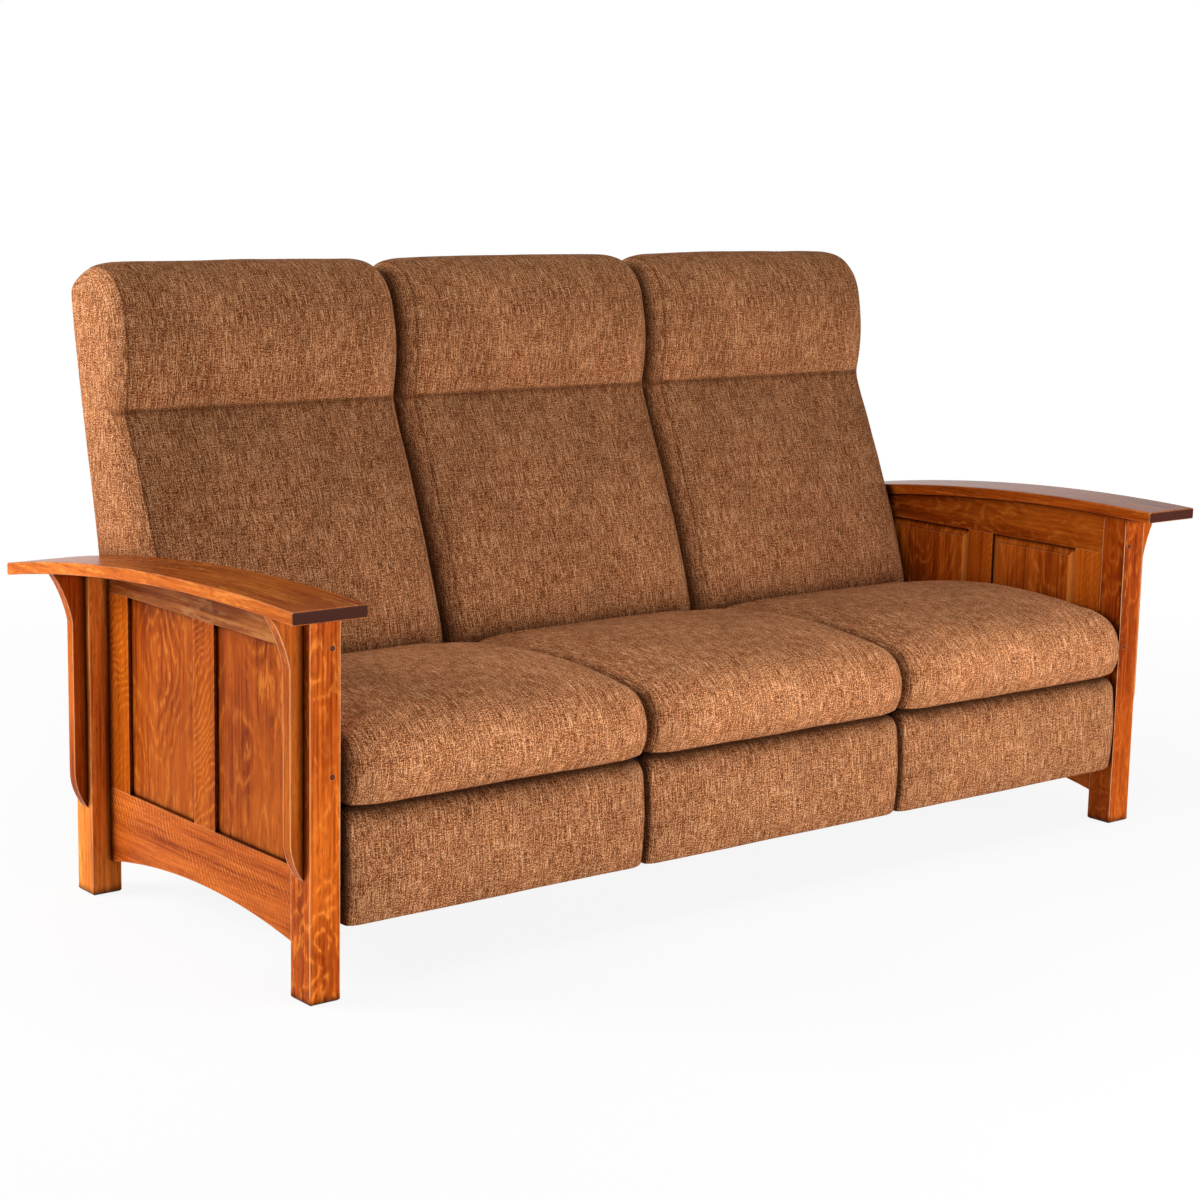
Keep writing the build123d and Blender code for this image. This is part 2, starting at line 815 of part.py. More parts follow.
def make_back_cushion():
    """The upholstered back: a lumbar field, a seam and a head roll, padded close around its frame."""
    half = back_frame_width / 2
    slot_thickness = back_frame_thickness + 2 * soft_gap
    side_slot_rise = back_frame_rise + soft_gap
    side_slot_length = side_slot_rise + back_frame_foot + overrun
    side_slot_inner = half - back_frame_rail - soft_gap
    side_slot_outer = half + steel + soft_gap
    with BuildPart() as cushion:
        for x, draw in side_stations(back_width, back_side_round, back_side_draw):
            with BuildSketch(profile_plane(x)):
                make_face(back_outline(draw))
        loft(ruled=True)
        for x_low in (-side_slot_outer, side_slot_inner):
            with BuildSketch(slope_plane(x_low)):
                with Locations((side_slot_rise - side_slot_length / 2, back_frame_middle)):
                    Rectangle(side_slot_length, slot_thickness)
            extrude(amount=side_slot_outer - side_slot_inner, mode=Mode.SUBTRACT)
        for rise in back_rail_rises():
            with BuildSketch(slope_plane(-half)):
                with Locations((rise, back_frame_middle)):
                    Rectangle(back_rail_depth + 2 * soft_gap, slot_thickness)
            extrude(amount=back_frame_width, mode=Mode.SUBTRACT)
    return cushion


def make_back_frame():
    """A ladder of two side rails and four cross rails inside the back."""
    half = back_frame_width / 2
    length = back_frame_rise + back_frame_foot
    with BuildPart() as frame:
        for x_low in (-half, half - back_frame_rail):
            with BuildSketch(slope_plane(x_low)):
                with Locations((back_frame_rise - length / 2, back_frame_middle)):
                    Rectangle(length, back_frame_thickness)
            extrude(amount=back_frame_rail)
        for rise in back_rail_rises():
            with BuildSketch(slope_plane(-half)):
                with Locations((rise, back_frame_middle)):
                    Rectangle(back_rail_depth, back_frame_thickness)
            extrude(amount=back_frame_width)
    return frame


def make_back_brackets():
    """Cranked steel brackets from the recline pivots up the sides of the back's frame."""
    elbow = on_slope(-bracket_foot_drop, back_frame_middle)
    high = on_slope(bracket_rise, back_frame_middle)
    with BuildPart() as brackets:
        with BuildSketch(profile_plane(layer_1)):
            with Locations(recline_pivot):
                Circle(recline_boss)
            with Locations(elbow):
                Circle(bracket_end_radius)
            make_hull()
        extrude(amount=steel)
        with BuildSketch(profile_plane(layer_1)):
            with Locations(elbow, high):
                Circle(bracket_end_radius)
            make_hull()
        extrude(amount=steel)
        cut_bore(recline_pivot, layer_1, pin_play)
        mirror(about=Plane.YZ)
    return brackets


# Write the ends and the base
save_both_ends(make_front_post(), "front_post")
save_both_ends(make_post(rear_post_y), "rear_post")
save_both_ends(make_arm(), "arm")
save_both_ends(make_top_rail(), "top_rail")
save_both_ends(make_bottom_rail(), "bottom_rail")
save(make_stiles(), "stiles")
save(make_panels(), "panels")
save(make_corbels(), "corbels")
save(make_pegs(), "pegs")
save(make_stretchers(), "stretchers")
save(make_corner_brackets(), "corner_brackets")
save(make_tracks(), "tracks")

# Write the three seats, each a copy of the one in the middle
seat_pieces = {
    "seat_frame": make_seat_frame(),
    "seat_springs": make_seat_springs(),
    "seat_cushion": make_seat_cushion(),
    "side_plates": make_side_plates(),
    "back_frame": make_back_frame(),
    "back_cushion": make_back_cushion(),
    "back_brackets": make_back_brackets(),
    "drive_links": make_link(
        layer_1, (drive_pivot, drive_end, tie_start), [(drive_pivot, pin_play)], (drive_end, tie_start)
    ),
    "guide_links": make_link(layer_1, (guide_pivot, guide_end), [(guide_pivot, pin_play)], [guide_end]),
    "coupler_links": make_link(
        layer_2,
        (drive_end, guide_end, hook_pivot),
        [(drive_end, pin_play), (guide_end, open_pivot_play)],
        [hook_pivot],
    ),
    "tie_links": make_link(layer_2, (tie_start, tie_end), [(tie_start, pin_play)], [tie_end]),
    "footrest_brackets": make_footrest_brackets(),
    "footrest_board": make_footrest_board(),
    "footrest_pad": make_footrest_pad(),
}
for seat, shift in zip(seat_names, seat_shifts):
    for name, piece in seat_pieces.items():
        with BuildPart() as placed:
            with Locations((shift, 0, 0)):
                add(piece.part)
        save(placed, f"{seat}_{name}")
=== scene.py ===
import math
import bpy
import numpy as np
from mathutils import Matrix, Vector, noise


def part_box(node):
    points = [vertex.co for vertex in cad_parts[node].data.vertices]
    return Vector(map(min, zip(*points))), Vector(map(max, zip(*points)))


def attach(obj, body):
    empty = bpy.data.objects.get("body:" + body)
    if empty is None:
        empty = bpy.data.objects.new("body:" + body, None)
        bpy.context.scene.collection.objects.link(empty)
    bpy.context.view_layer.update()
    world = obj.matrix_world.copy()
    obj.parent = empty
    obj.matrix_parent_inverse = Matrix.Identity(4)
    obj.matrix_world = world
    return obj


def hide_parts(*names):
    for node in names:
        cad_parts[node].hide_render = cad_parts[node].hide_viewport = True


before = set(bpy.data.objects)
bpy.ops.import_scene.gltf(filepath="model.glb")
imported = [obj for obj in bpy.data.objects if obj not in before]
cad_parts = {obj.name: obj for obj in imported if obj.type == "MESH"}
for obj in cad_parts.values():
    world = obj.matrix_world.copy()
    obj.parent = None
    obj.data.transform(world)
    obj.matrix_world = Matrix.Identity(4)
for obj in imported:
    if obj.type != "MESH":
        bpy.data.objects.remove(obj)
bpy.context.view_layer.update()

MM = 0.001
SEATS = ("left", "middle", "right")
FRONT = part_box("left_front_post")[0].y

# Camera, found from the straight edges of the wooden ends in the photograph
CAMERA_PLACE = (-3.0695, FRONT - 3.2845, 1.3737)
CAMERA_YAW = math.radians(38.87)
CAMERA_PITCH = math.radians(10.33)
CAMERA_ROLL = math.radians(1.19)
CAMERA_FOCAL_SHARE = 2529.2 / 1200
SENSOR_MM = 36.0

# Seat cushion, seen from the side: places as (y behind the front posts' face, z)
SEAT_REAR_Z = 427 * MM
SEAT_CROWN = (200 * MM, 468 * MM)
SEAT_SHOULDER = (2 * MM, 450 * MM)
SEAT_NOSE = (-32 * MM, 396 * MM)
SEAT_LIP_Y = -8 * MM
SEAT_REAR_PLAY = 3 * MM

# Back, seen from the side. Its swell is how far the cover stands beyond the solid's rear and top
BACK_FOOT_Y = 574 * MM
BACK_TUCK_Z = 428 * MM
BACK_SEAM = (757 * MM, 876 * MM)
BACK_LUMBAR_BULGE = 11 * MM
ROLL_START = (752 * MM, 881 * MM)
ROLL_END = (752 * MM, 1050 * MM)
ROLL_BULGE = 11 * MM
BACK_TOP_Y = 848 * MM
BACK_REAR_Z = 1090 * MM
BACK_REAR_FOOT_Y = 791 * MM
BACK_SWELL = 4 * MM

# Footrest pad, seen from the side
PAD_TOP_CORNER = 24 * MM
PAD_LOW_CORNER = 10 * MM
PAD_CROWN = 6 * MM
PAD_TOP_PLAY = 2 * MM

# Rounding of the soft pieces towards their sides: how far in it starts, how deep it draws, and how many
# degrees round the turn the side seam lies
SEAT_ROUND, SEAT_DRAW, SEAT_SEAM_TURN = 44 * MM, 30 * MM, 62
BACK_ROUND, BACK_DRAW, BACK_SEAM_TURN = 46 * MM, 34 * MM, 32
PAD_ROUND, PAD_DRAW, PAD_SEAM_TURN = 16 * MM, 10 * MM, 60
REAR_DRAW_SHARE = 0.3
PAD_LOW_DRAW_SHARE = 0.15
SEAM_PINCH = 1.8 * MM
SEAM_SIDE_TURN = 3.5

# How far each cover stands in from its solid's sides
SIDE_PLAY = 1.5 * MM

# How many faces the covers have along each part of their outlines, and how often corners are rounded
SPANS_ACROSS = 46
SPANS_IN_TURN = 7
BACK_SKIRT_SPANS, BACK_FIELD_SPANS, ROLL_SPANS, BACK_TOP_SPANS = 9, 44, 17, 24
SEAT_FRONT_SPANS, SEAT_TOP_SPANS = 18, 58
PAD_LOW_SPANS, PAD_FACE_SPANS, PAD_HIGH_SPANS, PAD_TOP_SPANS = 4, 24, 7, 5
CURVE_POINTS = 120
ROLL_PASSES = 14
SEAT_PASSES = 10
SIDE_PASSES = 9

# Filling of the covers: pressure, how far it may move a point, and how uneven it stays
SEAT_PRESSURE, SEAT_SWELL = 5.0, 12 * MM
BACK_PRESSURE, BACK_FILL_SWELL = 5.0, 7 * MM
PAD_PRESSURE, PAD_SWELL = 4.0, 4 * MM
FILL_STEPS = 20
UNEVEN, UNEVEN_PAD = 1.6 * MM, 0.8 * MM
UNEVEN_PER_METRE = 5.5

# Painted light and shade on each part of the covers: above one lighter, below one darker
PAINTED_LIGHT_FIELD_FOOT, PAINTED_LIGHT_FIELD_TOP = 0.92, 0.55
PAINTED_LIGHT_ROLL_FOOT, PAINTED_LIGHT_ROLL_TOP = 1.02, 0.70
PAINTED_LIGHT_OUTER_GUSSET, PAINTED_LIGHT_INNER_GUSSET = 1.12, 0.80
PAINTED_LIGHT_REAR, PAINTED_LIGHT_REAR_TURN = 0.86, 0.5
PAINTED_LIGHT_SEAT, PAINTED_LIGHT_NOSE = 1.0, 1.16
PAINTED_LIGHT_NOSE_DROP, PAINTED_LIGHT_NOSE_REACH = 60 * MM, 60 * MM
PAINTED_LIGHT_PAD, PAINTED_LIGHT_PAD_TOP = 0.96, 0.72
PAINTED_LIGHT_PAD_START, PAINTED_LIGHT_PAD_FADE = 42 * MM, 26 * MM

# Eased edges of the wood and steel
POST_EDGE = 1.6 * MM
RAIL_EDGE = 0.8 * MM
CORBEL_EDGE = 1.2 * MM
PEG_EDGE = 0.4 * MM
HIDDEN_EDGE = 1.5 * MM
STEEL_EDGE = 0.8 * MM


def set_camera():
    """The photograph's camera."""
    yaw, pitch, roll = CAMERA_YAW, CAMERA_PITCH, CAMERA_ROLL
    ahead = Vector((math.sin(yaw) * math.cos(pitch), math.cos(yaw) * math.cos(pitch), -math.sin(pitch)))
    level = Vector((math.cos(yaw), -math.sin(yaw), 0))
    up = level.cross(ahead)
    across = level * math.cos(roll) + up * math.sin(roll)
    upright = up * math.cos(roll) - level * math.sin(roll)
    data = bpy.data.cameras.new("camera")
    data.lens = SENSOR_MM * CAMERA_FOCAL_SHARE
    data.sensor_width = SENSOR_MM
    data.sensor_fit = "HORIZONTAL"
    camera = bpy.data.objects.new("camera", data)
    turn = Matrix((across, upright, -ahead)).transposed()
    camera.matrix_world = Matrix.Translation(CAMERA_PLACE) @ turn.to_4x4()
    bpy.context.collection.objects.link(camera)
    bpy.context.scene.camera = camera


class Shader:
    """A material's node tree, with short calls to add nodes and join them."""

    def __init__(self, name):
        self.material = bpy.data.materials.new(name)
        self.material.use_nodes = True
        self.tree = self.material.node_tree
        self.tree.nodes.clear()
        self.surface = self.node("ShaderNodeBsdfPrincipled")
        output = self.node("ShaderNodeOutputMaterial")
        self.join(self.surface.outputs[0], output.inputs["Surface"])

    def node(self, kind, values=None, **settings):
        made = self.tree.nodes.new(kind)
        for key, value in settings.items():
            setattr(made, key, value)
        for key, value in (values or {}).items():
            self.feed(made.inputs[key], value)
        return made

    def feed(self, socket, value):
        if isinstance(value, bpy.types.NodeSocket):
            self.tree.links.new(value, socket)
        else:
            socket.default_value = value

    def join(self, source, target):
        self.tree.links.new(source, target)

    def set(self, **values):
        for key, value in values.items():
            self.feed(self.surface.inputs[key.replace("_", " ")], value)

    def math(self, operation, a, b=0.5):
        return self.node("ShaderNodeMath", {0: a, 1: b}, operation=operation).outputs[0]

    def scaled(self, vector, scale, turn=(0, 0, 0), shift=(0, 0, 0)):
        values = {"Vector": vector, "Scale": scale, "Rotation": turn, "Location": shift}
        return self.node("ShaderNodeMapping", values).outputs[0]

    def noise(self, vector, detail=2, rough=0.5, distortion=0):
        values = {"Vector": vector, "Scale": 1, "Detail": detail}
        values.update({"Roughness": rough, "Distortion": distortion})
        return self.node("ShaderNodeTexNoise", values).outputs["Fac"]

    def ramp(self, value, stops):
        made = self.node("ShaderNodeValToRGB", {"Fac": value})
        points = made.color_ramp.elements
        while len(points) < len(stops):
            points.new(0.5)
        for point, (place, colour) in zip(points, stops):
            point.position = place
            point.color = (*colour, 1)
        return made.outputs["Color"]

    def range(self, value, low, high, to_low=0, to_high=1):
        values = {"Value": value, "From Min": low, "From Max": high, "To Min": to_low, "To Max": to_high}
        return self.node("ShaderNodeMapRange", values).outputs["Result"]

    def mix(self, share, a, b, blend="MIX"):
        made = self.node("ShaderNodeMix", data_type="RGBA", blend_type=blend)
        self.feed(made.inputs[0], share)
        self.feed(made.inputs[6], a if isinstance(a, bpy.types.NodeSocket) else (*a, 1))
        self.feed(made.inputs[7], b if isinstance(b, bpy.types.NodeSocket) else (*b, 1))
        return made.outputs[2]

    def bump(self, height, distance, strength):
        values = {"Height": height, "Distance": distance, "Strength": strength}
        return self.node("ShaderNodeBump", values).outputs[0]

    def occlusion(self, distance, samples, inside=False):
        """Near one in the open, lower in corners. Inside, lower near the surface's own edges."""
        made = self.node("ShaderNodeAmbientOcclusion", {"Distance": distance}, samples=samples, inside=inside)
        return made.outputs["AO"]

    def weighted(self, *pairs):
        """The sum of values times their weights."""
        total = self.math("MULTIPLY", *pairs[0])
        for value, weight in pairs[1:]:
            total = self.math("ADD", total, self.math("MULTIPLY", value, weight))
        return total

    def axes(self, vector):
        return self.node("ShaderNodeSeparateXYZ", {0: vector}).outputs

    def facing(self):
        """The parts of the surface's direction along X, Y and Z."""
        return self.axes(self.node("ShaderNodeNewGeometry").outputs["True Normal"])

    def mark(self, name):
        """A value that the mesh carries for each point."""
        return self.node("ShaderNodeAttribute", attribute_name=name).outputs["Fac"]

    def seen_rays(self):
        """One for the rays that show the background: the camera's, and those seen in gloss and glass."""
        path = self.node("ShaderNodeLightPath").outputs
        either = self.math("MAXIMUM", path["Is Camera Ray"], path["Is Glossy Ray"])
        return self.math("MAXIMUM", either, path["Is Transmission Ray"])

    def place(self):
        return self.node("ShaderNodeTexCoord").outputs["Object"]


# Materials

CHENILLE_DARK = (0.070, 0.018, 0.0035)
CHENILLE_DEEP = (0.180, 0.052, 0.016)
CHENILLE_MID = (0.335, 0.117, 0.046)
CHENILLE_LIGHT = (0.540, 0.222, 0.088)
CHENILLE_PALE = (0.840, 0.450, 0.225)
SHEEN_TINT = (0.90, 0.55, 0.33, 1)


def chenille(name):
    """Rust-brown chenille: crossed threads, long pale slubs, dark flecks and an unevenly brushed pile, under
    painted light and shade.

    The noise scales are in waves per metre of cloth, across the piece and along its outline.
    """
    s = Shader(name)
    cloth = s.node("ShaderNodeUVMap", uv_map="cloth").outputs[0]
    threads = s.noise(s.scaled(cloth, (430, 34, 1)), detail=2, rough=0.6)
    picks = s.noise(s.scaled(cloth, (60, 520, 1), shift=(3, 7, 0)), detail=2, rough=0.6)
    grit = s.noise(s.scaled(cloth, (460, 400, 1), shift=(6, 2, 0)), detail=2)
    cloud = s.noise(s.scaled(cloth, (16, 7, 1), shift=(2, 9, 0)), detail=3, rough=0.6)
    yarn = s.weighted((threads, 0.30), (picks, 0.18), (grit, 0.52))
    tone = s.math("ADD", yarn, s.math("MULTIPLY", s.math("SUBTRACT", cloud, 0.5), 0.08))
    colour = s.ramp(tone, [
        (0.405, CHENILLE_DARK), (0.455, CHENILLE_DEEP), (0.50, CHENILLE_MID),
        (0.548, CHENILLE_LIGHT), (0.60, CHENILLE_PALE),
    ])
    pale = s.range(s.noise(s.scaled(cloth, (520, 26, 1), shift=(11, 2, 0)), detail=1), 0.60, 0.67)
    colour = s.mix(s.math("MULTIPLY", pale, 0.62), colour, CHENILLE_PALE)
    dark = s.range(s.noise(s.scaled(cloth, (400, 260, 1), shift=(4, 13, 0)), detail=1), 0.60, 0.66)
    colour = s.mix(s.math("MULTIPLY", dark, 0.78), colour, CHENILLE_DARK)
    across = s.range(s.noise(s.scaled(cloth, (36, 480, 1), shift=(8, 5, 0)), detail=1), 0.62, 0.70)
    colour = s.mix(s.math("MULTIPLY", across, 0.40), colour, CHENILLE_PALE)
    brush = s.noise(s.scaled(cloth, (9, 6, 1), shift=(7, 3, 0)), detail=2)
    colour = s.mix(1.0, colour, s.range(brush, 0.35, 0.65, 0.92, 1.07), blend="MULTIPLY")
    # Painted shade: darker in the valleys and crevices between and under the cushions.
    valley_shade = s.occlusion(45 * MM, 6)
    colour = s.mix(s.range(valley_shade, 0.25, 0.85, 0.75, 0), colour, CHENILLE_DARK)
    # Painted light and shade, laid on each part of the cover.
    colour = s.mix(1.0, colour, s.mark("painted_light"), blend="MULTIPLY")
    colour = s.mix(s.math("MULTIPLY", s.mark("seam"), 0.5), colour, CHENILLE_DARK)
    s.set(Base_Color=colour, Roughness=0.95, Sheen_Weight=0.04, Sheen_Roughness=0.5)
    s.set(Sheen_Tint=SHEEN_TINT, Specular_IOR_Level=0.02)
    s.set(Normal=s.bump(yarn, 2.5 * MM, 0.8))
    return s.material


OAK_SHADOW = (0.014, 0.0020, 0.0006)
OAK_DARK = (0.140, 0.019, 0.0022)
OAK_DEEP = (0.300, 0.047, 0.0045)
OAK_MID = (0.465, 0.090, 0.0085)
OAK_LIGHT = (0.640, 0.150, 0.0165)
OAK_FLECK = (0.900, 0.290, 0.045)
OAK_WEAR_AND_GLINT = (1.000, 0.640, 0.300)
OAK_END = (0.060, 0.016, 0.010)

# The ray fleck of each cut of oak: noise scales across and along the grain, contours of that noise,
# steady ripples per metre across and along, and how strongly it shows
FIGURES = {
    "flame": (9, 3.4, 15.0, 8, 3, 0.64),
    "ring": (20, 11.0, 7.0, 0, 0, 0.42),
    "ripple": (12, 8, 7.0, 62, 58, 0.42),
    "rail": (9, 5, 6.0, 45, 95, 0.42),
    "plain": (26, 2.4, 4.0, 10, 3, 0.34),
    "arm": (30, 1.6, 5.0, 0, 0, 0.54),
}
FAR_FIGURE_SHARE = 0.45
SHADOW_SHARE = 0.8
SEED_SHIFT = (0.37, 0.61, 0.23)

# Turns that lay the grain, which runs along Z in the noise, along another axis
GRAIN_TURNS = {"X": (0, math.pi / 2, 0), "Y": (math.pi / 2, 0, 0), "Z": (0, 0, 0)}


def oak(name, along, seed, figure, tint, wear_and_glint, top_shade=1.0, far_tint=None, bevel=0):
    """Stained quarter-sawn oak with its grain along Y or Z: streaks, pores, ray fleck, and edges that are
    rubbed lighter and carry a painted highlight.

    The tint is the stain's depth, with painted light and shade for how brightly that end is lit. A node that
    is at both ends may take another, far_tint, at +X.
    Top_shade below 1 is for a board whose upper face is painted darker, as painted shade, and whose end grain
    is nearly black. Bevel is how strongly slopes that face along Y are painted lighter, as a painted
    highlight.
    """
    across_scale, along_scale, contours, across_ripples, along_ripples, strength = FIGURES[figure]
    s = Shader(name)
    shift = tuple(seed * step for step in SEED_SHIFT)
    wood = s.scaled(s.place(), (1, 1, 1), turn=GRAIN_TURNS[along], shift=shift)
    streaks = s.noise(s.scaled(wood, (210, 210, 5)), detail=2.5, rough=0.6)
    band_place = s.scaled(wood, (34, 34, 1.6), shift=(4, 1, 2))
    bands = s.noise(band_place, detail=2.5, rough=0.55, distortion=0.4)
    cloud = s.noise(s.scaled(wood, (8, 8, 3), shift=(1, 5, 3)), detail=2, rough=0.5)
    grain = s.weighted((streaks, 0.32), (bands, 0.30), (cloud, 0.38))
    colour = s.ramp(grain, [(0.34, OAK_DARK), (0.42, OAK_DEEP), (0.49, OAK_MID), (0.62, OAK_LIGHT)])
    figure_scale = (across_scale, across_scale, along_scale)
    field = s.noise(s.scaled(wood, figure_scale, shift=(6, 3, 8)), detail=2.2, rough=0.4)
    parts = s.axes(wood)
    steady = s.math("MULTIPLY", s.math("ADD", parts[0], parts[1]), across_ripples)
    steady = s.math("ADD", steady, s.math("MULTIPLY", parts[2], along_ripples))
    phase = s.math("ADD", s.math("MULTIPLY", field, contours), steady)
    wave = s.math("SINE", s.math("MULTIPLY", phase, math.tau))
    breaks = s.noise(s.scaled(wood, (150, 150, 45), shift=(9, 2, 6)), detail=2)
    where = s.noise(s.scaled(wood, (14, 14, 5), shift=(3, 7, 1)), detail=2)
    shown = s.math("MULTIPLY", s.range(breaks, 0.40, 0.56), s.range(where, 0.38, 0.58, 0.25, 1.0))
    if far_tint is not None:
        far = s.range(s.axes(s.place())[0], -1 * MM, 1 * MM)
        shown = s.math("MULTIPLY", shown, s.range(far, 0, 1, 1.0, FAR_FIGURE_SHARE))
    fleck = s.math("MULTIPLY", s.range(wave, 0.25, 0.95), shown)
    colour = s.mix(s.math("MULTIPLY", fleck, strength), colour, OAK_FLECK)
    shadow = s.math("MULTIPLY", s.range(wave, -0.3, -1.0), shown)
    colour = s.mix(s.math("MULTIPLY", shadow, strength * SHADOW_SHARE), colour, OAK_DARK)
    pits = s.noise(s.scaled(wood, (620, 620, 40), shift=(2, 8, 4)), detail=1.5)
    pore = s.range(pits, 0.58, 0.68)
    colour = s.mix(s.math("MULTIPLY", pore, 0.45), colour, OAK_DARK)
    # Stain depth, with painted light and shade for how brightly each end is lit.
    if far_tint is None:
        colour = s.mix(1.0, colour, tint, blend="MULTIPLY")
    else:
        colour = s.mix(1.0, colour, s.mix(far, tint, far_tint), blend="MULTIPLY")
    outside = s.occlusion(20 * MM, 8)
    colour = s.mix(s.range(outside, 0.50, 0.92, 0.95, 0), colour, OAK_SHADOW)
    # Painted shade darkens faces turned up; end grain, facing along Y, takes its own nearly black colour.
    if top_shade < 1:
        facing = s.facing()
        shade = s.range(facing[2], 0.75, 0.95, 1.0, top_shade)
        colour = s.mix(1.0, colour, shade, blend="MULTIPLY")
        colour = s.mix(s.range(s.math("ABSOLUTE", facing[1]), 0.75, 0.9), colour, OAK_END)
    # Painted highlight: faces turned even a little along Y, such as the panels' bevels, are made lighter.
    if bevel:
        slope = s.math("ABSOLUTE", s.facing()[1])
        colour = s.mix(s.range(slope, 0.05, 0.20, 0, bevel), colour, OAK_FLECK)
    # Edges made lighter: partly real rubbing, partly a painted highlight; kept out of inside corners.
    inside = s.occlusion(3 * MM, 8, inside=True)
    edge_wear_and_glint = s.math("MULTIPLY", s.range(inside, 0.86, 0.60), s.range(outside, 0.85, 1.0))
    colour = s.mix(s.math("MULTIPLY", edge_wear_and_glint, wear_and_glint), colour, OAK_WEAR_AND_GLINT)
    s.set(Base_Color=colour, Roughness=0.24, Specular_IOR_Level=0.03)
    height = s.math("SUBTRACT", s.math("MULTIPLY", streaks, 0.4), s.math("MULTIPLY", pore, 0.6))
    s.set(Normal=s.bump(height, 0.25 * MM, 0.4))
    return s.material


def plain_wood(name, along, light, dark):
    """Unfinished wood for what the upholstery hides."""
    s = Shader(name)
    wood = s.scaled(s.place(), (1, 1, 1), turn=GRAIN_TURNS[along])
    lines = s.noise(s.scaled(wood, (130, 130, 2.5)), detail=3, rough=0.6, distortion=0.4)
    cloud = s.noise(s.scaled(wood, (12, 12, 2), shift=(3, 1, 7)), detail=2)
    grain = s.weighted((lines, 0.6), (cloud, 0.4))
    s.set(Base_Color=s.ramp(grain, [(0.36, dark), (0.60, light)]), Roughness=0.7)
    s.set(Normal=s.bump(lines, 0.2 * MM, 0.4))
    return s.material


def metal(name, colour, metallic, roughness, grain):
    """Painted or bare steel with an uneven surface, whose grain is in waves per metre."""
    s = Shader(name)
    place = s.place()
    cloud = s.noise(s.scaled(place, (35, 35, 35)), detail=3)
    fine = s.noise(s.scaled(place, (grain, grain, grain)), detail=2)
    lighter = tuple(min(1, c * 1.5) for c in colour)
    s.set(Base_Color=s.mix(s.range(cloud, 0.3, 0.7), colour, lighter), Metallic=metallic)
    s.set(Roughness=s.range(fine, 0.3, 0.7, roughness - 0.08, roughness + 0.1))
    s.set(Normal=s.bump(fine, 0.08 * MM, 0.5))
    return s.material


PEG_DARK = (0.055, 0.009, 0.002)
PEG_LIGHT = (0.160, 0.032, 0.007)


def peg_wood(name):
    """Dark end grain."""
    s = Shader(name)
    rings = s.noise(s.scaled(s.place(), (700, 700, 700)), detail=2)
    s.set(Base_Color=s.ramp(rings, [(0.35, PEG_DARK), (0.65, PEG_LIGHT)]), Roughness=0.4)
    s.set(Specular_IOR_Level=0.1)
    s.set(Normal=s.bump(rings, 0.1 * MM, 0.5))
    return s.material


# Hard pieces: each CAD node keeps its mesh, and gets eased edges and its material

SMOOTH_ANGLE = 36
FLAT_ANGLE = 0.2
EDGE_ANGLE = 38
EDGE_SEGMENTS = 3


def smooth_by_angle():
    """A modifier group that shades smooth over all edges but sharp ones."""
    group = bpy.data.node_groups.new("smooth_by_angle", "GeometryNodeTree")
    group.interface.new_socket("Geometry", in_out="INPUT", socket_type="NodeSocketGeometry")
    group.interface.new_socket("Geometry", in_out="OUTPUT", socket_type="NodeSocketGeometry")
    source = group.nodes.new("NodeGroupInput")
    target = group.nodes.new("NodeGroupOutput")
    faces = group.nodes.new("GeometryNodeSetShadeSmooth")
    faces.domain = "FACE"
    edges = group.nodes.new("GeometryNodeSetShadeSmooth")
    edges.domain = "EDGE"
    angle = group.nodes.new("GeometryNodeInputMeshEdgeAngle")
    under = group.nodes.new("ShaderNodeMath")
    under.operation = "LESS_THAN"
    under.inputs[1].default_value = math.radians(SMOOTH_ANGLE)
    group.links.new(source.outputs[0], faces.inputs["Geometry"])
    group.links.new(faces.outputs[0], edges.inputs["Geometry"])
    group.links.new(angle.outputs["Unsigned Angle"], under.inputs[0])
    group.links.new(under.outputs[0], edges.inputs["Shade Smooth"])
    group.links.new(edges.outputs[0], target.inputs[0])
    return group


SMOOTH = smooth_by_angle()


def ease_edges(piece, width):
    """Rounds a CAD node's sharp edges without touching its mesh."""
    flat = piece.modifiers.new("flat_faces", "DECIMATE")
    flat.decimate_type = "DISSOLVE"
    flat.angle_limit = math.radians(FLAT_ANGLE)
    bevel = piece.modifiers.new("eased_edges", "BEVEL")
    bevel.width = width
    bevel.segments = EDGE_SEGMENTS
    bevel.limit_method = "ANGLE"
    bevel.angle_limit = math.radians(EDGE_ANGLE)
    bevel.use_clamp_overlap = True
    bevel.miter_outer = "MITER_ARC"


def finish_node(name, material, edge=0):
    """Gives a CAD node its material, and eased edges where asked."""
    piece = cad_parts[name]
    piece.data.materials.clear()
    piece.data.materials.append(material)
    if edge:
        ease_edges(piece, edge)
    piece.modifiers.new("smooth", "NODES").node_group = SMOOTH


# Each wooden board that both ends have: grain, seed of the left one, figure left and right, stain left and
# right with painted light and shade for each end, how much its edges are rubbed lighter and given a painted
# highlight, how much painted shade darkens its upper face, and its eased edge
BOARDS = {
    "front_post": ("Z", 1, ("ring", "ring"), ((0.82, 0.66, 0.5), (1.40, 1.40, 1.2)), 0.6, 1.0, POST_EDGE),
    "rear_post": ("Z", 3, ("plain", "plain"), ((1.6, 2.2, 3.0), (1.6, 2.2, 3.0)), 0.6, 1.0, POST_EDGE),
    "arm": ("Y", 5, ("arm", "arm"), ((1.0, 0.98, 0.85), (1.18, 1.28, 1.5)), 0.7, 0.54, 0),
    "top_rail": ("Y", 7, ("ring", "plain"), ((0.9, 0.9, 0.7), (0.95, 1.55, 3.6)), 0.05, 1.0, RAIL_EDGE),
    "bottom_rail": ("Y", 9, ("rail", "rail"), ((1.15, 1.22, 1.55), (1.15, 1.22, 1.55)), 0.15, 1.0, RAIL_EDGE),
}
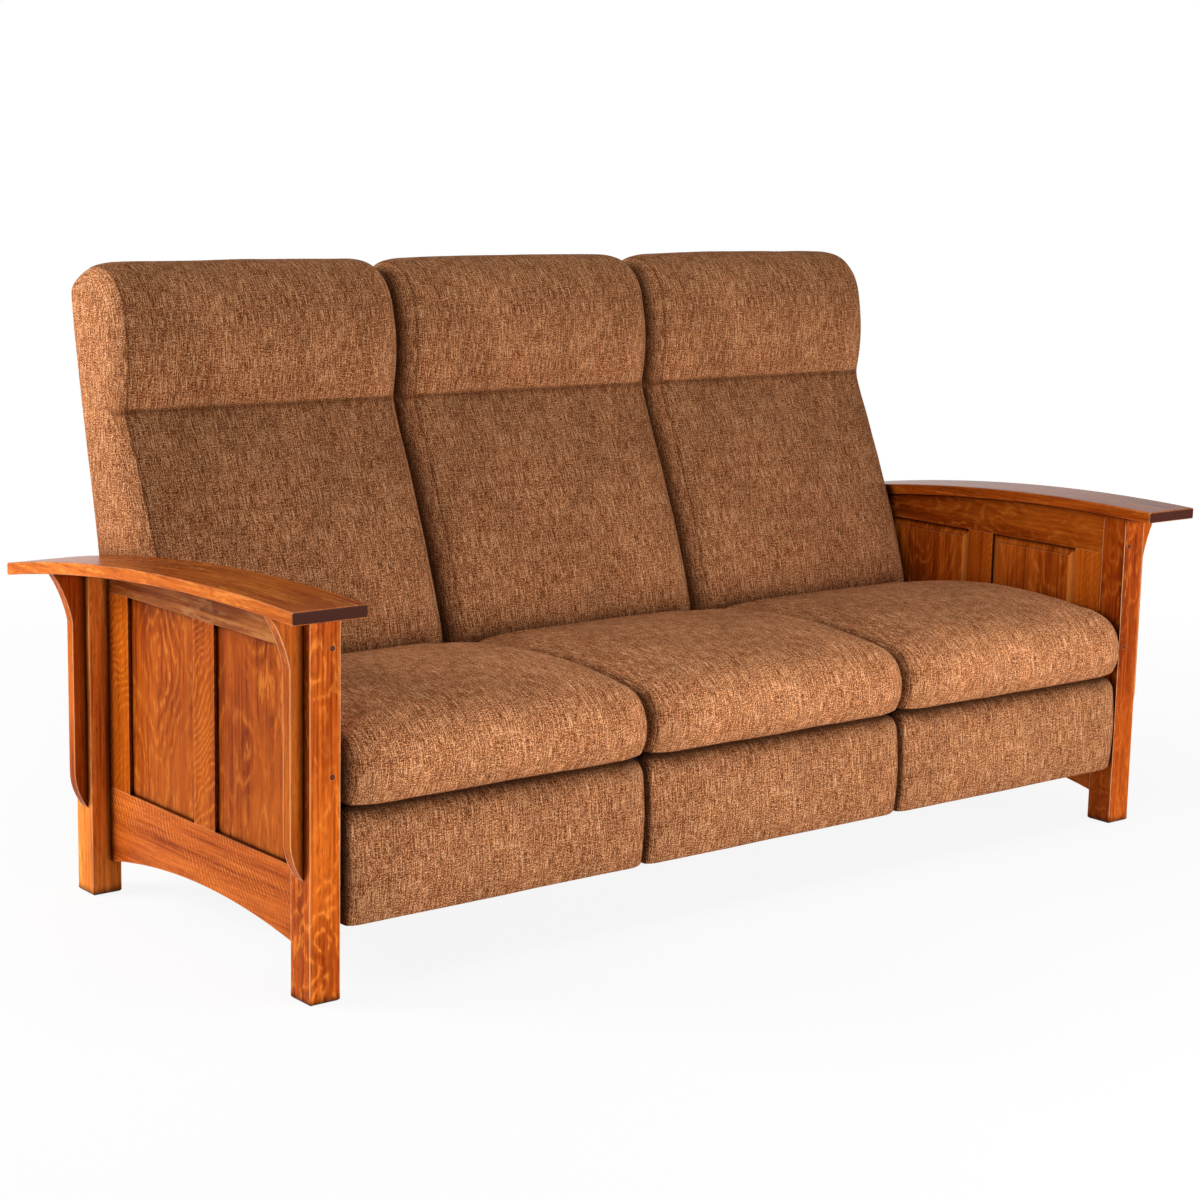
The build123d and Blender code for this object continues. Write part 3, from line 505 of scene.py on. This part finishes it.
# Stains of the stiles and panels at -X and at +X, with painted light and shade for how brightly each end is
# lit
STILE_TINTS = ((0.88, 0.84, 0.5), (1.1, 1.1, 0.8))
PANEL_TINTS = ((0.80, 0.75, 0.5), (1.25, 1.35, 1.2))
CORBEL_TINT = (1.0, 1.0, 0.9)
HIDDEN_LIGHT, HIDDEN_DARK = (0.60, 0.44, 0.27), (0.40, 0.26, 0.14)
PLY_LIGHT, PLY_DARK = (0.66, 0.50, 0.31), (0.48, 0.33, 0.18)
BLACK_STEEL = (0.018, 0.018, 0.020)
SPRING_STEEL = (0.34, 0.34, 0.35)
STEEL_PARTS = (
    "side_plates", "back_brackets", "drive_links", "guide_links", "coupler_links", "tie_links",
    "footrest_brackets",
)


def finish_hard_pieces():
    """Materials and edges of the wood and steel."""
    for number, side in enumerate(("left", "right")):
        for board, (along, seed, figures, tints, wear_and_glint, top_shade, edge) in BOARDS.items():
            name = f"{side}_{board}"
            wood = oak(f"oak_{name}", along, seed + number, figures[number], tints[number], wear_and_glint, top_shade)
            finish_node(name, wood, edge)
    stile_tint, far_stile_tint = STILE_TINTS
    panel_tint, far_panel_tint = PANEL_TINTS
    stile_wood = oak("oak_stiles", "Z", 11, "ripple", stile_tint, 0.12, far_tint=far_stile_tint)
    panel_wood = oak("oak_panels", "Z", 13, "flame", panel_tint, 0.2, far_tint=far_panel_tint, bevel=0.7)
    finish_node("stiles", stile_wood, RAIL_EDGE)
    finish_node("panels", panel_wood)
    finish_node("corbels", oak("oak_corbels", "Z", 15, "plain", CORBEL_TINT, 0.6), CORBEL_EDGE)
    finish_node("pegs", peg_wood("peg_wood"), PEG_EDGE)
    hidden_x = plain_wood("hidden_wood_x", "X", HIDDEN_LIGHT, HIDDEN_DARK)
    hidden_z = plain_wood("hidden_wood_z", "Z", HIDDEN_LIGHT, HIDDEN_DARK)
    ply = plain_wood("plywood", "X", PLY_LIGHT, PLY_DARK)
    black = metal("black_steel", BLACK_STEEL, 0.0, 0.42, 300)
    bright = metal("spring_wire", SPRING_STEEL, 1.0, 0.35, 900)
    finish_node("stretchers", hidden_x, HIDDEN_EDGE)
    for name in ("corner_brackets", "tracks"):
        finish_node(name, black, STEEL_EDGE)
    for seat in SEATS:
        finish_node(f"{seat}_seat_frame", hidden_x, HIDDEN_EDGE)
        finish_node(f"{seat}_back_frame", hidden_z, HIDDEN_EDGE)
        finish_node(f"{seat}_footrest_board", ply)
        finish_node(f"{seat}_seat_springs", bright)
        for name in STEEL_PARTS:
            finish_node(f"{seat}_{name}", black)


# Soft pieces: closed quad meshes whose rings follow the side outline, with seams as edge loops

def arc(start, middle, end, count):
    """Points along the circle through three places, from the start up to but not including the end."""
    (ax, ay), (bx, by), (cx, cy) = start, middle, end
    d = 2 * (ax * (by - cy) + bx * (cy - ay) + cx * (ay - by))
    if abs(d) < 1e-12:
        return line(start, end, count)
    a2, b2, c2 = ax * ax + ay * ay, bx * bx + by * by, cx * cx + cy * cy
    ux = (a2 * (by - cy) + b2 * (cy - ay) + c2 * (ay - by)) / d
    uy = (a2 * (cx - bx) + b2 * (ax - cx) + c2 * (bx - ax)) / d
    first = math.atan2(ay - uy, ax - ux)
    sweep_mid = (math.atan2(by - uy, bx - ux) - first) % math.tau
    sweep = (math.atan2(cy - uy, cx - ux) - first) % math.tau
    if sweep_mid > sweep:
        sweep -= math.tau
    radius = math.hypot(ax - ux, ay - uy)
    turns = [first + sweep * k / count for k in range(count)]
    return [(ux + radius * math.cos(t), uy + radius * math.sin(t)) for t in turns]


def line(start, end, count):
    """Points along a straight line, without its end."""
    return [tuple(a + (b - a) * k / count for a, b in zip(start, end)) for k in range(count)]


def resample(points, count):
    """An open polyline's points spread evenly, both ends kept."""
    points = np.array(points, float)
    steps = np.concatenate([[0], np.cumsum(np.linalg.norm(np.diff(points, axis=0), axis=1))])
    at = np.linspace(0, steps[-1], count + 1)
    return [tuple(p) for p in np.stack([np.interp(at, steps, points[:, k]) for k in range(2)], 1)]


def softened(points, passes):
    """A polyline with its corners rounded by averaging, both ends kept."""
    points = np.array(points, float)
    for _ in range(passes):
        points[1:-1] = 0.25 * points[:-2] + 0.5 * points[1:-1] + 0.25 * points[2:]
    return [tuple(p) for p in points]


# Where the middle of a quarter circle lies, as a share of its radius
ARC_MIDDLE = math.sin(math.radians(45))


def back_sides(draw, rear_draw):
    """The back's outline as front, top, rear and bottom, each from its lower or front end."""
    low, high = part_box("middle_back_cushion")
    bottom, rear = low.z, high.y - FRONT + BACK_SWELL
    lean = math.atan2(BACK_SEAM[0] - BACK_FOOT_Y, BACK_SEAM[1] - BACK_TUCK_Z)
    foot = (BACK_FOOT_Y + draw, bottom)
    tuck = (BACK_FOOT_Y + draw, BACK_TUCK_Z)
    seam = (BACK_SEAM[0] + draw, BACK_SEAM[1])
    lumbar = (
        (tuck[0] + seam[0]) / 2 - BACK_LUMBAR_BULGE * math.cos(lean),
        (tuck[1] + seam[1]) / 2 + BACK_LUMBAR_BULGE * math.sin(lean),
    )
    roll_start = (ROLL_START[0] + draw, ROLL_START[1])
    roll_end = (ROLL_END[0] + draw, ROLL_END[1] - draw / 2)
    roll = ((roll_start[0] + roll_end[0]) / 2 - ROLL_BULGE, (roll_start[1] + roll_end[1]) / 2)
    top = (BACK_TOP_Y, high.z + BACK_SWELL - draw)
    rear_top = (rear - rear_draw, BACK_REAR_Z)
    shoulder = (
        top[0] - (top[0] - roll_end[0]) * ARC_MIDDLE,
        roll_end[1] + (top[1] - roll_end[1]) * ARC_MIDDLE,
    )
    rear_shoulder = (
        top[0] + (rear_top[0] - top[0]) * ARC_MIDDLE,
        rear_top[1] + (top[1] - rear_top[1]) * ARC_MIDDLE,
    )
    rear_foot = (BACK_REAR_FOOT_Y - rear_draw, bottom)
    field = line(foot, tuck, BACK_SKIRT_SPANS) + arc(tuck, lumbar, seam, BACK_FIELD_SPANS) + [seam]
    over = arc(roll_end, shoulder, top, CURVE_POINTS // 3)
    over += arc(top, rear_shoulder, rear_top, CURVE_POINTS // 3) + [rear_top]
    head = softened(arc(roll_start, roll, roll_end, ROLL_SPANS) + resample(over, BACK_TOP_SPANS), ROLL_PASSES)
    front = field + head[:ROLL_SPANS + 1]
    behind = resample([rear_foot, rear_top], len(front) - 1)
    return front, head[ROLL_SPANS:], behind, resample([foot, rear_foot], BACK_TOP_SPANS)


def seat_sides(draw, rear_draw):
    """The seat cushion's outline as front, top, rear and bottom."""
    low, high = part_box("middle_seat_cushion")
    bottom, rear = low.z, high.y - FRONT - SEAT_REAR_PLAY
    lip = (SEAT_LIP_Y + draw / 2, bottom + draw / 6)
    nose = (SEAT_NOSE[0] + draw, SEAT_NOSE[1] - draw / 2)
    shoulder = (SEAT_SHOULDER[0] + draw, SEAT_SHOULDER[1] - draw)
    crown = (SEAT_CROWN[0], SEAT_CROWN[1] - draw)
    rear_top = (rear - rear_draw, SEAT_REAR_Z - draw)
    rear_low = (rear - rear_draw, bottom)
    front = arc(lip, nose, shoulder, CURVE_POINTS // 2) + [shoulder]
    over = arc(shoulder, crown, rear_top, CURVE_POINTS) + [rear_top]
    cover = resample(front, SEAT_FRONT_SPANS) + resample(over, SEAT_TOP_SPANS)[1:]
    cover = softened(cover, SEAT_PASSES)
    behind = resample([rear_low, rear_top], SEAT_FRONT_SPANS)
    below = resample([lip, rear_low], SEAT_TOP_SPANS)
    return cover[:SEAT_FRONT_SPANS + 1], cover[SEAT_FRONT_SPANS:], behind, below


def pad_sides(draw, _):
    """The footrest pad's outline as front, top, rear and bottom."""
    low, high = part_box("middle_footrest_pad")
    bottom, top = low.z + draw * PAD_LOW_DRAW_SHARE, high.z - draw - PAD_TOP_PLAY
    face, rear = low.y - FRONT + draw + PAD_CROWN, high.y - FRONT
    in_corner = 1 - ARC_MIDDLE
    low_face, high_face = (face, bottom + PAD_LOW_CORNER), (face, top - PAD_TOP_CORNER)
    low_edge, high_edge = (face + PAD_LOW_CORNER, bottom), (face + PAD_TOP_CORNER, top)
    low_turn = (face + in_corner * PAD_LOW_CORNER, bottom + in_corner * PAD_LOW_CORNER)
    high_turn = (face + in_corner * PAD_TOP_CORNER, top - in_corner * PAD_TOP_CORNER)
    crown = (face - PAD_CROWN, (bottom + top) / 2)
    front = arc(low_edge, low_turn, low_face, PAD_LOW_SPANS) + arc(low_face, crown, high_face, PAD_FACE_SPANS)
    front += arc(high_face, high_turn, high_edge, PAD_HIGH_SPANS) + [high_edge]
    over = resample([high_edge, (rear, top)], PAD_TOP_SPANS)
    behind = resample([(rear, bottom), (rear, top)], len(front) - 1)
    return front, over, behind, resample([low_edge, (rear, bottom)], PAD_TOP_SPANS)


def stations(half_width, side_round, side_draw, seam_turn):
    """Places across a soft piece, with how far each is drawn in and how much of a seam it is."""
    beside = math.radians(SEAM_SIDE_TURN)
    turns = [0.0, seam_turn - beside, seam_turn, seam_turn + beside]
    left_over = (math.pi / 2 - turns[-1]) / SPANS_IN_TURN
    turns += [turns[3] + k * left_over for k in range(1, SPANS_IN_TURN + 1)]
    edge = []
    for turn in turns:
        x = half_width - side_round + side_round * math.sin(turn)
        draw = side_draw * (1 - math.cos(turn))
        seam = float(turn == seam_turn)
        edge.append((x, draw + SEAM_PINCH * seam, seam))
    inner = half_width - side_round
    across = [(-inner + 2 * inner * k / SPANS_ACROSS, 0.0, 0.0) for k in range(1, SPANS_ACROSS)]
    return [(-x, draw, seam) for x, draw, seam in reversed(edge)] + across + edge


def lengths_round(ring):
    """How far round a closed ring each of its points lies, and its whole length."""
    steps = np.linalg.norm(np.diff(np.array(ring + ring[:1]), axis=0), axis=1)
    return np.concatenate([[0], np.cumsum(steps)])


def make_shell(name, sides, places, cross_seams):
    """A closed mesh of rings across x, with a patch of quads at each side.

    Also gives how much of a seam each point is.
    """
    rings = []
    for x, draw, seam in places:
        front, top, rear, bottom = sides(draw, draw * REAR_DRAW_SHARE)
        rings.append(list(front) + list(top[1:]) + rear[-2::-1] + bottom[-2:0:-1])
    n_front, n_top = len(front) - 1, len(top) - 1
    count = len(rings[0])
    verts = [(x, FRONT + y, z) for (x, _, _), ring in zip(places, rings) for y, z in ring]
    reach = [0.0]
    for (x0, draw0, _), (x1, draw1, _) in zip(places, places[1:]):
        reach.append(reach[-1] + math.hypot(x1 - x0, draw1 - draw0))
    seams = [seam for _, _, seam in places for _ in range(count)]
    for i in range(len(places)):
        for j in cross_seams:
            seams[i * count + j] = 1.0
    faces, cloth = [], []
    runs = [lengths_round(ring) for ring in rings]
    for i in range(len(places) - 1):
        for j in range(count):
            k = (j + 1) % count
            faces.append((i * count + j, (i + 1) * count + j, (i + 1) * count + k, i * count + k))
            u0, u1 = reach[i], reach[i + 1]
            cloth += [(u0, runs[i][j]), (u1, runs[i + 1][j]), (u1, runs[i + 1][j + 1]), (u0, runs[i][j + 1])]
    for end, i in ((-1, 0), (1, len(places) - 1)):
        ring = np.array(rings[i])
        front_side = ring[:n_front + 1]
        top_side = ring[n_front:n_front + n_top + 1]
        rear_side = ring[n_front + n_top:2 * n_front + n_top + 1][::-1]
        bottom_side = np.concatenate([ring[2 * n_front + n_top:], ring[:1]])[::-1]
        index = -np.ones((n_top + 1, n_front + 1), int)
        for b in range(n_front + 1):
            index[0, b] = i * count + b
            index[n_top, b] = i * count + 2 * n_front + n_top - b
        for a in range(n_top + 1):
            index[a, n_front] = i * count + n_front + a
            index[a, 0] = i * count + (2 * n_front + 2 * n_top - a) % count
        for a in range(1, n_top):
            u = a / n_top
            for b in range(1, n_front):
                v = b / n_front
                p = (1 - u) * front_side[b] + u * rear_side[b] + (1 - v) * bottom_side[a] + v * top_side[a]
                p = p - (1 - u) * (1 - v) * front_side[0] - u * (1 - v) * rear_side[0]
                p = p - (1 - u) * v * front_side[-1] - u * v * rear_side[-1]
                index[a, b] = len(verts)
                verts.append((places[i][0], FRONT + p[0], p[1]))
                seams.append(0.0)
        for a in range(n_top):
            for b in range(n_front):
                quad = (index[a, b], index[a, b + 1], index[a + 1, b + 1], index[a + 1, b])
                quad = quad if end < 0 else quad[::-1]
                faces.append(tuple(int(q) for q in quad))
                cloth += [(verts[q][1], verts[q][2]) for q in quad]
    mesh = bpy.data.meshes.new(name)
    mesh.from_pydata(verts, [], faces)
    mesh.uv_layers.new(name="cloth").data.foreach_set("uv", np.array(cloth, np.float32).ravel())
    mesh.attributes.new("seam", "FLOAT", "POINT").data.foreach_set("value", np.array(seams, np.float32))
    piece = bpy.data.objects.new(name, mesh)
    bpy.context.collection.objects.link(piece)
    mesh.polygons.foreach_set("use_smooth", [True] * len(mesh.polygons))
    return piece, np.array(seams)


def paint_light_and_shade(piece, kind, centre_x, seam_x, outer):
    """Paints light and shade onto each cover as a mark: darker under the back's seam, lighter on outer sides
    and noses.

    Outer is 1 for the seat whose outer side is at +X, -1 for the one at -X, and 0 for the middle one.
    """
    co = points_of(piece.data)
    y, z = co[:, 1] - FRONT, co[:, 2]
    if kind == "back_cushion":
        up_field = np.clip((z - BACK_TUCK_Z) / (BACK_SEAM[1] - BACK_TUCK_Z), 0, 1)
        up_roll = np.clip((z - ROLL_START[1]) / (ROLL_END[1] - ROLL_START[1]), 0, 1)
        field = PAINTED_LIGHT_FIELD_FOOT + (PAINTED_LIGHT_FIELD_TOP - PAINTED_LIGHT_FIELD_FOOT) * up_field
        roll = PAINTED_LIGHT_ROLL_FOOT + (PAINTED_LIGHT_ROLL_TOP - PAINTED_LIGHT_ROLL_FOOT) * up_roll
        painted_light = np.where(z > BACK_SEAM[1] + 1 * MM, roll, field)
        behind = np.clip(normals_of(piece.data)[:, 1] / PAINTED_LIGHT_REAR_TURN, 0, 1)
        painted_light = painted_light + (PAINTED_LIGHT_REAR - painted_light) * behind
        across = co[:, 0] - centre_x
        gusset = np.where(across * outer > 0, PAINTED_LIGHT_OUTER_GUSSET, PAINTED_LIGHT_INNER_GUSSET)
        painted_light = np.where(np.abs(across) > seam_x, gusset, painted_light)
    elif kind == "seat_cushion":
        low = np.clip((SEAT_SHOULDER[1] - z) / PAINTED_LIGHT_NOSE_DROP, 0, 1) * (y < PAINTED_LIGHT_NOSE_REACH)
        painted_light = PAINTED_LIGHT_SEAT + (PAINTED_LIGHT_NOSE - PAINTED_LIGHT_SEAT) * low
    else:
        high = np.clip((z - z.max() + PAINTED_LIGHT_PAD_START) / PAINTED_LIGHT_PAD_FADE, 0, 1)
        painted_light = PAINTED_LIGHT_PAD + (PAINTED_LIGHT_PAD_TOP - PAINTED_LIGHT_PAD) * high
    piece.data.attributes.new("painted_light", "FLOAT", "POINT").data.foreach_set("value", painted_light.astype(np.float32))


def points_of(mesh, value="co"):
    """A mesh's points as an array."""
    flat = np.zeros(len(mesh.vertices) * 3)
    mesh.vertices.foreach_get(value, flat)
    return flat.reshape(-1, 3)


def normals_of(mesh):
    """The directions in which a mesh's points face, as an array."""
    return points_of(mesh, "normal")


def move_points(mesh, co):
    """Gives a mesh's points new places."""
    mesh.vertices.foreach_set("co", co.ravel())
    mesh.update()


def smooth_sides(piece, seam_x, passes):
    """Evens out the covers' sides beyond their seams, where filling leaves creases."""
    co = points_of(piece.data)
    flat = np.zeros(len(piece.data.edges) * 2, int)
    piece.data.edges.foreach_get("vertices", flat)
    pairs = flat.reshape(-1, 2)
    ends = np.concatenate([pairs, pairs[:, ::-1]])
    beside = np.bincount(ends[:, 0], minlength=len(co))[:, None]
    free = (np.abs(co[:, 0]) > seam_x)[:, None]
    for _ in range(passes):
        total = np.zeros_like(co)
        np.add.at(total, ends[:, 0], co[ends[:, 1]])
        co = np.where(free, 0.5 * co + 0.5 * total / beside, co)
    move_points(piece.data, co)


def inflate(piece, held, pressure, swell):
    """Fills the cover between its seams by cloth simulation, with the held points kept where they are.

    Each point's move is eased off so that none comes to more than the swell.
    """
    before = points_of(piece.data)
    group = piece.vertex_groups.new(name="held")
    for index, weight in enumerate(held):
        if weight > 0:
            group.add([index], float(weight), "REPLACE")
    cloth = piece.modifiers.new("cloth", "CLOTH")
    cloth.settings.quality = 6
    cloth.settings.mass = 0.3
    cloth.settings.tension_stiffness = 25
    cloth.settings.compression_stiffness = 25
    cloth.settings.shear_stiffness = 10
    cloth.settings.bending_stiffness = 2
    cloth.settings.use_pressure = True
    cloth.settings.uniform_pressure_force = pressure
    cloth.settings.vertex_group_mass = "held"
    cloth.settings.effector_weights.gravity = 0
    cloth.point_cache.frame_start = 1
    cloth.point_cache.frame_end = FILL_STEPS
    for step in range(1, FILL_STEPS + 1):
        bpy.context.scene.frame_set(step)
    blown = piece.evaluated_get(bpy.context.evaluated_depsgraph_get())
    move = points_of(blown.data) - before
    piece.modifiers.remove(cloth)
    piece.vertex_groups.remove(group)
    bpy.context.scene.frame_set(1)
    length = np.linalg.norm(move, axis=1, keepdims=True)
    move *= swell / (swell + length)
    move_points(piece.data, before + move)


def settle(piece, seed, amount):
    """Small slow unevenness, as filling has, so that no two pieces are alike."""
    co = points_of(piece.data)
    normals = normals_of(piece.data)
    away = Vector((seed * 3.1, seed * 1.7, seed * 2.3))
    for index, point in enumerate(co):
        spot = Vector(point) * UNEVEN_PER_METRE + away
        co[index] += normals[index] * amount * (noise.noise(spot) + 0.5 * noise.noise(spot * 2.7))
    move_points(piece.data, co)


# Each kind of soft piece: its outline, rounding, depth of rounding, turn of its side seam, places of its
# cross seams along the outline, the body it rides on, how full it is, the filling's pressure, and how far
# that may swell it
SOFT_KINDS = {
    "seat_cushion": (
        seat_sides, SEAT_ROUND, SEAT_DRAW, SEAT_SEAM_TURN, (),
        "seat", 0.7, SEAT_PRESSURE, SEAT_SWELL,
    ),
    "back_cushion": (
        back_sides, BACK_ROUND, BACK_DRAW, BACK_SEAM_TURN, (BACK_SKIRT_SPANS + BACK_FIELD_SPANS,),
        "back", 0.75, BACK_PRESSURE, BACK_FILL_SWELL,
    ),
    "footrest_pad": (
        pad_sides, PAD_ROUND, PAD_DRAW, PAD_SEAM_TURN, (),
        "footrest", 0.8, PAD_PRESSURE, PAD_SWELL,
    ),
}


def make_soft_pieces():
    """Seat cushions, backs and footrest pads: one of each is filled, then copied for each seat."""
    cover = chenille("chenille")
    for kind, values in SOFT_KINDS.items():
        sides, rounding, draw, seam_turn, cross, body, fill, pressure, swell = values
        low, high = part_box(f"middle_{kind}")
        half = (high.x - low.x) / 2 - SIDE_PLAY
        places = stations(half, rounding, draw, math.radians(seam_turn))
        model, seams = make_shell(f"{kind}_model", sides, places, cross)
        seam_x = half - rounding * (1 - math.sin(math.radians(seam_turn))) + 1 * MM
        co = points_of(model.data)
        flat = co[:, 2] < low.z + 1 * MM
        held = np.maximum(seams, flat.astype(float))
        if kind == "footrest_pad":
            held = np.maximum(held, (co[:, 1] > high.y - 1 * MM).astype(float))
        inflate(model, held, pressure, swell)
        smooth_sides(model, seam_x, SIDE_PASSES)
        for number, seat in enumerate(SEATS):
            seat_low, seat_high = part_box(f"{seat}_{kind}")
            centre_x = (seat_low.x + seat_high.x) / 2
            piece = bpy.data.objects.new(f"{seat}_{kind}_cover", model.data.copy())
            bpy.context.collection.objects.link(piece)
            piece.data.transform(Matrix.Translation((centre_x, 0, 0)))
            paint_light_and_shade(piece, kind, centre_x, seam_x, 1 - number)
            settle(piece, number + 1, UNEVEN_PAD if kind == "footrest_pad" else UNEVEN)
            rounder = piece.modifiers.new("rounder", "SUBSURF")
            rounder.levels = 1
            rounder.render_levels = 1
            piece.data.materials.append(cover)
            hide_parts(f"{seat}_{kind}")
            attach(piece, f"{seat}_{body}")
        bpy.data.objects.remove(model)


# Stage

FLOOR_REACH = 14
FLOOR_PAINT = (0.9, 0.9, 0.9, 1)
FLOOR_GLOW_NEAR, FLOOR_GLOW_FAR = (1.3, 0.89), (3.2, 1.0)
SOFT_SKY = (0.95, 0.96, 1.0, 1)
SOFT_SKY_STRENGTH = 0.16
WHITE = (1, 1, 1, 1)

# Lamps: place, aim, size and power
LAMPS = {
    "key": ((-3.1, 1.6, 1.7), (-0.5, 0, 0.6), (1.6, 1.4), 102),
    "front": ((0.6, -2.7, 0.6), (0, -0.3, 0.4), (3.6, 0.7), 58),
    "top": ((0.0, -1.0, 3.0), (0, 0, 0.45), (2.6, 1.6), 36),
    "rear": ((2.2, 3.4, 2.4), (0, 0, 0.8), (2.4, 1.6), 26),
}


def add_lamp(name, place, aim, size, power):
    """A soft rectangular lamp."""
    data = bpy.data.lights.new(name, "AREA")
    data.shape = "RECTANGLE"
    data.size, data.size_y = size
    data.energy = power
    lamp = bpy.data.objects.new(name, data)
    lamp.location = place
    lamp.rotation_euler = (Vector(aim) - Vector(place)).to_track_quat("-Z", "Y").to_euler()
    lamp.visible_camera = False
    bpy.context.collection.objects.link(lamp)


def make_floor():
    """A pale floor that shows white far off, and keeps the sofa's shadow."""
    mesh = bpy.data.meshes.new("floor")
    corners = [(x * FLOOR_REACH, y * FLOOR_REACH, 0) for x, y in ((-1, -1), (1, -1), (1, 1), (-1, 1))]
    mesh.from_pydata(corners, [], [(0, 1, 2, 3)])
    floor = bpy.data.objects.new("floor", mesh)
    bpy.context.collection.objects.link(floor)
    s = Shader("floor_paint")
    s.set(Base_Color=FLOOR_PAINT, Roughness=0.9, Specular_IOR_Level=0.1)
    glow = s.node("ShaderNodeEmission", {"Color": WHITE, "Strength": 1.0})
    far = s.node("ShaderNodeVectorMath", {0: s.place()}, operation="LENGTH").outputs["Value"]
    (near_edge, near_share), (far_edge, far_share) = FLOOR_GLOW_NEAR, FLOOR_GLOW_FAR
    share = s.range(far, near_edge, far_edge, near_share, far_share)
    mixed = s.node("ShaderNodeMixShader")
    s.join(s.math("MULTIPLY", s.seen_rays(), share), mixed.inputs[0])
    s.join(s.surface.outputs[0], mixed.inputs[1])
    s.join(glow.outputs[0], mixed.inputs[2])
    s.join(mixed.outputs[0], s.tree.nodes["Material Output"].inputs["Surface"])
    mesh.materials.append(s.material)


def make_surround():
    """Soft light from all round, which the camera, gloss and glass see as white."""
    world = bpy.data.worlds.new("surround")
    bpy.context.scene.world = world
    world.use_nodes = True
    tree = world.node_tree
    tree.nodes.clear()
    soft = tree.nodes.new("ShaderNodeBackground")
    soft.inputs["Color"].default_value = SOFT_SKY
    soft.inputs["Strength"].default_value = SOFT_SKY_STRENGTH
    white = tree.nodes.new("ShaderNodeBackground")
    white.inputs["Color"].default_value = WHITE
    path = tree.nodes.new("ShaderNodeLightPath")
    seen = path.outputs["Is Camera Ray"]
    for name in ("Is Glossy Ray", "Is Transmission Ray"):
        either = tree.nodes.new("ShaderNodeMath")
        either.operation = "MAXIMUM"
        tree.links.new(seen, either.inputs[0])
        tree.links.new(path.outputs[name], either.inputs[1])
        seen = either.outputs[0]
    choice = tree.nodes.new("ShaderNodeMixShader")
    output = tree.nodes.new("ShaderNodeOutputWorld")
    tree.links.new(seen, choice.inputs[0])
    tree.links.new(soft.outputs[0], choice.inputs[1])
    tree.links.new(white.outputs[0], choice.inputs[2])
    tree.links.new(choice.outputs[0], output.inputs["Surface"])


set_camera()
make_floor()
make_surround()
for lamp_name, lamp_values in LAMPS.items():
    add_lamp(lamp_name, *lamp_values)
bpy.context.scene.view_settings.view_transform = "Standard"
finish_hard_pieces()
make_soft_pieces()
